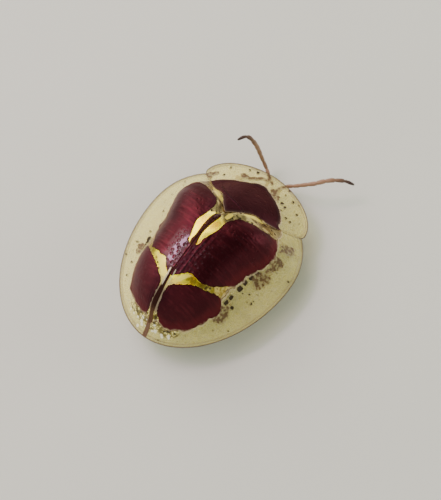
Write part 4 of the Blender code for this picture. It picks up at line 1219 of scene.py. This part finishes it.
def foot_pad(start, run, across, share, until, half, draw):
    """One heart-shaped joint of a foot with its fringe of short hairs."""
    steps, around = PAD_MESH

    def middle_and_width(t):
        middle = start + run * (share + (until - share) * t)
        return middle, half * (0.45 + 0.55 * math.sin(math.pi * t * 0.75) ** 0.8)

    points = []
    for i in range(steps + 1):
        t = i / steps
        middle, width = middle_and_width(t)
        width *= math.sqrt(max(1 - (max(t - 0.72, 0) / 0.3) ** 2, 0.03))
        lift = PAD_THICKNESS * math.sqrt(max(1 - (2 * t - 1) ** 4, 0.02))
        for turn in turns(around):
            notch = 0.07 * max(t - 0.6, 0) * (1 - abs(math.cos(turn))) ** 2
            height = PAD_UP + lift * math.sin(turn) + 0.03 * (1 - t)
            place = middle + across * math.cos(turn) * width - run.normalized() * notch
            points.append(spot(*place, height - RIM_LEVEL))
    ends = [tuple(range(around)), tuple(range(steps * around, (steps + 1) * around))]
    parts = [(points, strips(steps + 1, around) + ends, [0.0] * len(points))]
    for _ in range(FOOT_HAIRS):
        middle, width = middle_and_width(draw.uniform(0.2, 0.98))
        side = draw.uniform(-1, 1)
        root = Vector((*(middle + across * side * width * 0.9), SOLE_UP - RIM_LEVEL))
        lean = Vector((*(across * side * 0.7), -1.0)).normalized()
        parts.append(hair(root, lean, *FOOT_HAIR))
    return parts


def limb(start, end, steps, reach, radii, around):
    """A limb's middle line, and the limb itself with radii spread evenly along it."""
    line = [start.lerp(end, share) for share in np.linspace(0, reach, steps)]
    spread = np.interp(np.linspace(0, 1, steps), np.linspace(0, 1, len(radii)), radii)
    return line, tube(line, spread, around, flat=0.85)


def limb_hairs(line, radii, count, draw):
    """Short hairs all round a limb, placed at random."""
    hairs = []
    way = (line[-1] - line[0]).normalized()
    for _ in range(count):
        share = draw.uniform(0.08, 0.96)
        lean = outward(draw, way)
        radius = float(np.interp(share, np.linspace(0, 1, len(radii)), radii))
        root = line[0].lerp(line[-1], share) + lean * radius * 0.82
        hairs.append(hair(root, (lean * 0.5 + way).normalized(), *LEG_HAIR))
    return hairs


def add_leg(name, plan, material, slot):
    """One leg: coxa, thigh, shin, three padded foot joints, claw joint and two claws."""
    coxa, knee, ankle, toe = (Vector(place) for place in plan)
    draw = np.random.default_rng(int(abs(plan[0][0] * 100) + (plan[0][1] > 0)))
    bend, heel = Vector((*knee, KNEE_UP)), Vector((*ankle, ANKLE_UP))
    thigh, thigh_tube = limb(Vector((*coxa, THIGH_UP)), bend, 30, 1.06, THIGH_RADII, 26)
    shin, shin_tube = limb(bend, heel, 26, 1.0, SHIN_RADII, 22)
    parts = [ellipsoid((*coxa, COXA_UP), COXA_RADII), thigh_tube,
             ellipsoid(bend, KNEE_RADII, 20, 12), shin_tube,
             ellipsoid(heel, ANKLE_RADII, 20, 12)]
    run = toe - ankle
    across = Vector((-run.y, run.x)).normalized()
    for share, until, half in FOOT_JOINTS:
        parts += foot_pad(ankle, run, across, share, until, half, draw)
    root, tip = (Vector((*(ankle + run * share), up - RIM_LEVEL)) for share, up in CLAW_JOINT)
    claw_joint = [root.lerp(tip, t) for t in np.linspace(0, 1, len(CLAW_JOINT_RADII))]
    parts.append(tube(claw_joint, CLAW_JOINT_RADII, 16))
    ahead = run.normalized()
    for sign in (-1, 1):
        claw = []
        for t in np.linspace(0, 1, 10):
            out = ahead * CLAW_REACH * math.sin(t * 1.4) + across * sign * CLAW_SPREAD * t
            up = CLAW_UP - CLAW_DROP * t ** 1.6 - RIM_LEVEL
            claw.append(Vector((*(tip.xy + out), up)))
        parts.append(tube(claw, np.linspace(*CLAW_RADII, 10), 10))
    parts += limb_hairs(thigh, THIGH_RADII, THIGH_HAIRS, draw)
    parts += limb_hairs(shin, SHIN_RADII, SHIN_HAIRS, draw)
    dress(joined_object(name + "_joints", parts), material, slot, name)


def on_both_sides(parts):
    """Each part, and its mirror image where it stands off the midline."""
    for (fore, side, up), radii in parts:
        for sign in (1, -1) if side else (1,):
            yield (fore, sign * side, up), radii


def add_body():
    """Belly, breast, head, eyes, antennae and legs."""
    under = cuticle_finish("belly_brown", (0.09, 0.035, 0.015), (0.17, 0.075, 0.03))
    for name, sections, node, belly_shape in (
            ("abdomen_plates", ABDOMEN_SECTIONS, "abdomen", ventrites),
            ("thorax_plates", THORAX_SECTIONS, "thorax", breast),
            ("prothorax_plates", PROTHORAX_SECTIONS, "pronotum", breast)):
        body_part(name, sections, under, "body_cuticle", node, belly_shape)
    add_scutellum(scutellum_finish())
    head = [ellipsoid(*part) for part in on_both_sides(HEAD_PARTS)]
    dress(joined_object("head_capsule", head), under, "body_cuticle", "head")
    black = eye_finish()
    for name, (centre, radii) in zip(("eye_right", "eye_left"), on_both_sides(EYE)):
        dress(joined_object(name + "_ball", [ellipsoid(centre, radii)]), black, "eye", name)
    feeler = antenna_finish()
    add_antenna("antenna_left", ANTENNA_LEFT, feeler, "limb_cuticle")
    add_antenna("antenna_right", ANTENNA_RIGHT, feeler, "limb_cuticle")
    brown = cuticle_finish("limb_brown", (0.10, 0.036, 0.012), (0.24, 0.10, 0.038), 0.42)
    for name, plan in LEGS.items():
        add_leg(name, plan, brown, "limb_cuticle")


def set_light(name, place, aim, size, power, colour=(1, 1, 1), height=None):
    """A soft panel light, its place and size in millimetres."""
    data = bpy.data.lights.new(name, "AREA")
    data.shape = "RECTANGLE"
    data.size = size * MILLIMETRE
    data.size_y = (height or size) * MILLIMETRE
    data.energy = power
    data.color = colour
    panel = placed(name, data)
    panel.location = Vector(place) * MILLIMETRE
    panel.rotation_mode = "QUATERNION"
    way = Vector(aim) * MILLIMETRE - panel.location
    panel.rotation_quaternion = way.to_track_quat("-Z", "Y")


def add_camera():
    """A camera at the photograph's viewing angle."""
    data = bpy.data.cameras.new("camera")
    data.lens = CAMERA_LENS
    data.sensor_width = 36
    data.clip_start = 0.005
    data.clip_end = 5
    camera = placed("camera", data)
    back = Vector(CAMERA_BACK).normalized()
    right = Vector(CAMERA_UP).cross(back).normalized()
    upward = back.cross(right)
    aim = spot(*CAMERA_AIM, 0.0)
    turn = Matrix((right, upward, back)).transposed().to_4x4()
    camera.matrix_world = Matrix.Translation(aim + back * CAMERA_DISTANCE * MILLIMETRE) @ turn
    bpy.context.scene.camera = camera
    return right, upward


def add_floor():
    """A plain pale floor."""
    mesh = bpy.data.meshes.new("floor")
    corners = [(x * FLOOR_HALF, y * FLOOR_HALF, 0) for x, y in ((-1, -1), (1, -1), (1, 1), (-1, 1))]
    mesh.from_pydata(corners, [], [(0, 1, 2, 3)])
    floor = placed("floor", mesh)
    f = Finish("floor_pale")
    f.set(base_color=f.mix(f.noise(0.15, 3), (0.745, 0.79, 0.66), (0.78, 0.825, 0.695)),
          roughness=0.7)
    mesh.materials.append(f.material)


def add_sky(dark_way, bright_way):
    """A pale sky with one darker and one brighter part, as the glossy back shows."""
    world = bpy.data.worlds.new("soft_sky")
    world.use_nodes = True
    bpy.context.scene.world = world
    f = Nodes(world.node_tree, "Generated")

    def lobe(way, *steps):
        lean = f.node("VectorMath", {0: f.place, 1: way}, "Value", operation="DOT_PRODUCT")
        return f.step(lean, *steps)

    sky = f.tree.nodes["Background"]
    f.feed(sky.inputs["Color"], (1, 0.99, 0.95))
    f.feed(sky.inputs["Strength"], f.times(lobe(dark_way, 0.52, 0.88, 0.05, 1.0),
                                           lobe(bright_way, 0.74, 0.95, 2.3, 1.0)))


def add_lights(right, upward):
    """A soft sky and soft panels, placed as the picture shows them."""
    flat_right = Vector((right.x, right.y, 0)).normalized()
    flat_up = Vector((upward.x, upward.y, 0)).normalized()

    def from_picture(across, away, high):
        return flat_right * across + flat_up * away + Vector((0, 0, high))

    add_sky(from_picture(0.5, -0.05, 0.86).normalized(),
            from_picture(-0.38, 0.32, 0.86).normalized())
    window = from_picture(-0.43, 0.3, 0.85).normalized() * 95
    set_light("window", window, (0, 0, 1), 34, 0.031, (0.98, 0.55, 0.86), 16)
    lamp = from_picture(-0.13, 0.47, 0.87).normalized() * 95
    set_light("lamp", lamp, (0, 0, 3), 20, 0.008, (1.0, 0.88, 0.5))
    set_light("low_fill", from_picture(92, 14, 28), (0, 0, 1), 50, 0.03)
    set_light("left_panel", from_picture(-60, 95, 50), (0, 0, 0), 90, 0.05)


def main():
    right, upward = add_camera()
    add_floor()
    add_lights(right, upward)
    back, clear = wing_finish(), margin_finish()
    add_wing_case("elytron_right", 1, CASE_EDGE_RIGHT, (FRONT_PATCH_RIGHT, REAR_PATCH_RIGHT),
                  (back, clear))
    add_wing_case("elytron_left", -1, CASE_EDGE_LEFT, (FRONT_PATCH_LEFT, REAR_PATCH_LEFT),
                  (back, clear))
    add_pronotum((shield_finish(), clear))
    add_body()


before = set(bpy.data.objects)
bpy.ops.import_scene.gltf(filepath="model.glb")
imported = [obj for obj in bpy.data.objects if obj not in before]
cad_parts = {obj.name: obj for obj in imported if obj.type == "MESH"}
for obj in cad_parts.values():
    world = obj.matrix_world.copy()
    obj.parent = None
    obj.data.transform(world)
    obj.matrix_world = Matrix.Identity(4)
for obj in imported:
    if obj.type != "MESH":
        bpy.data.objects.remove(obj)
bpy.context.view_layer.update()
TAIL_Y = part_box("elytron_right")[1][1] / MILLIMETRE + TAIL_FORE
main()
bpy.context.view_layer.update()
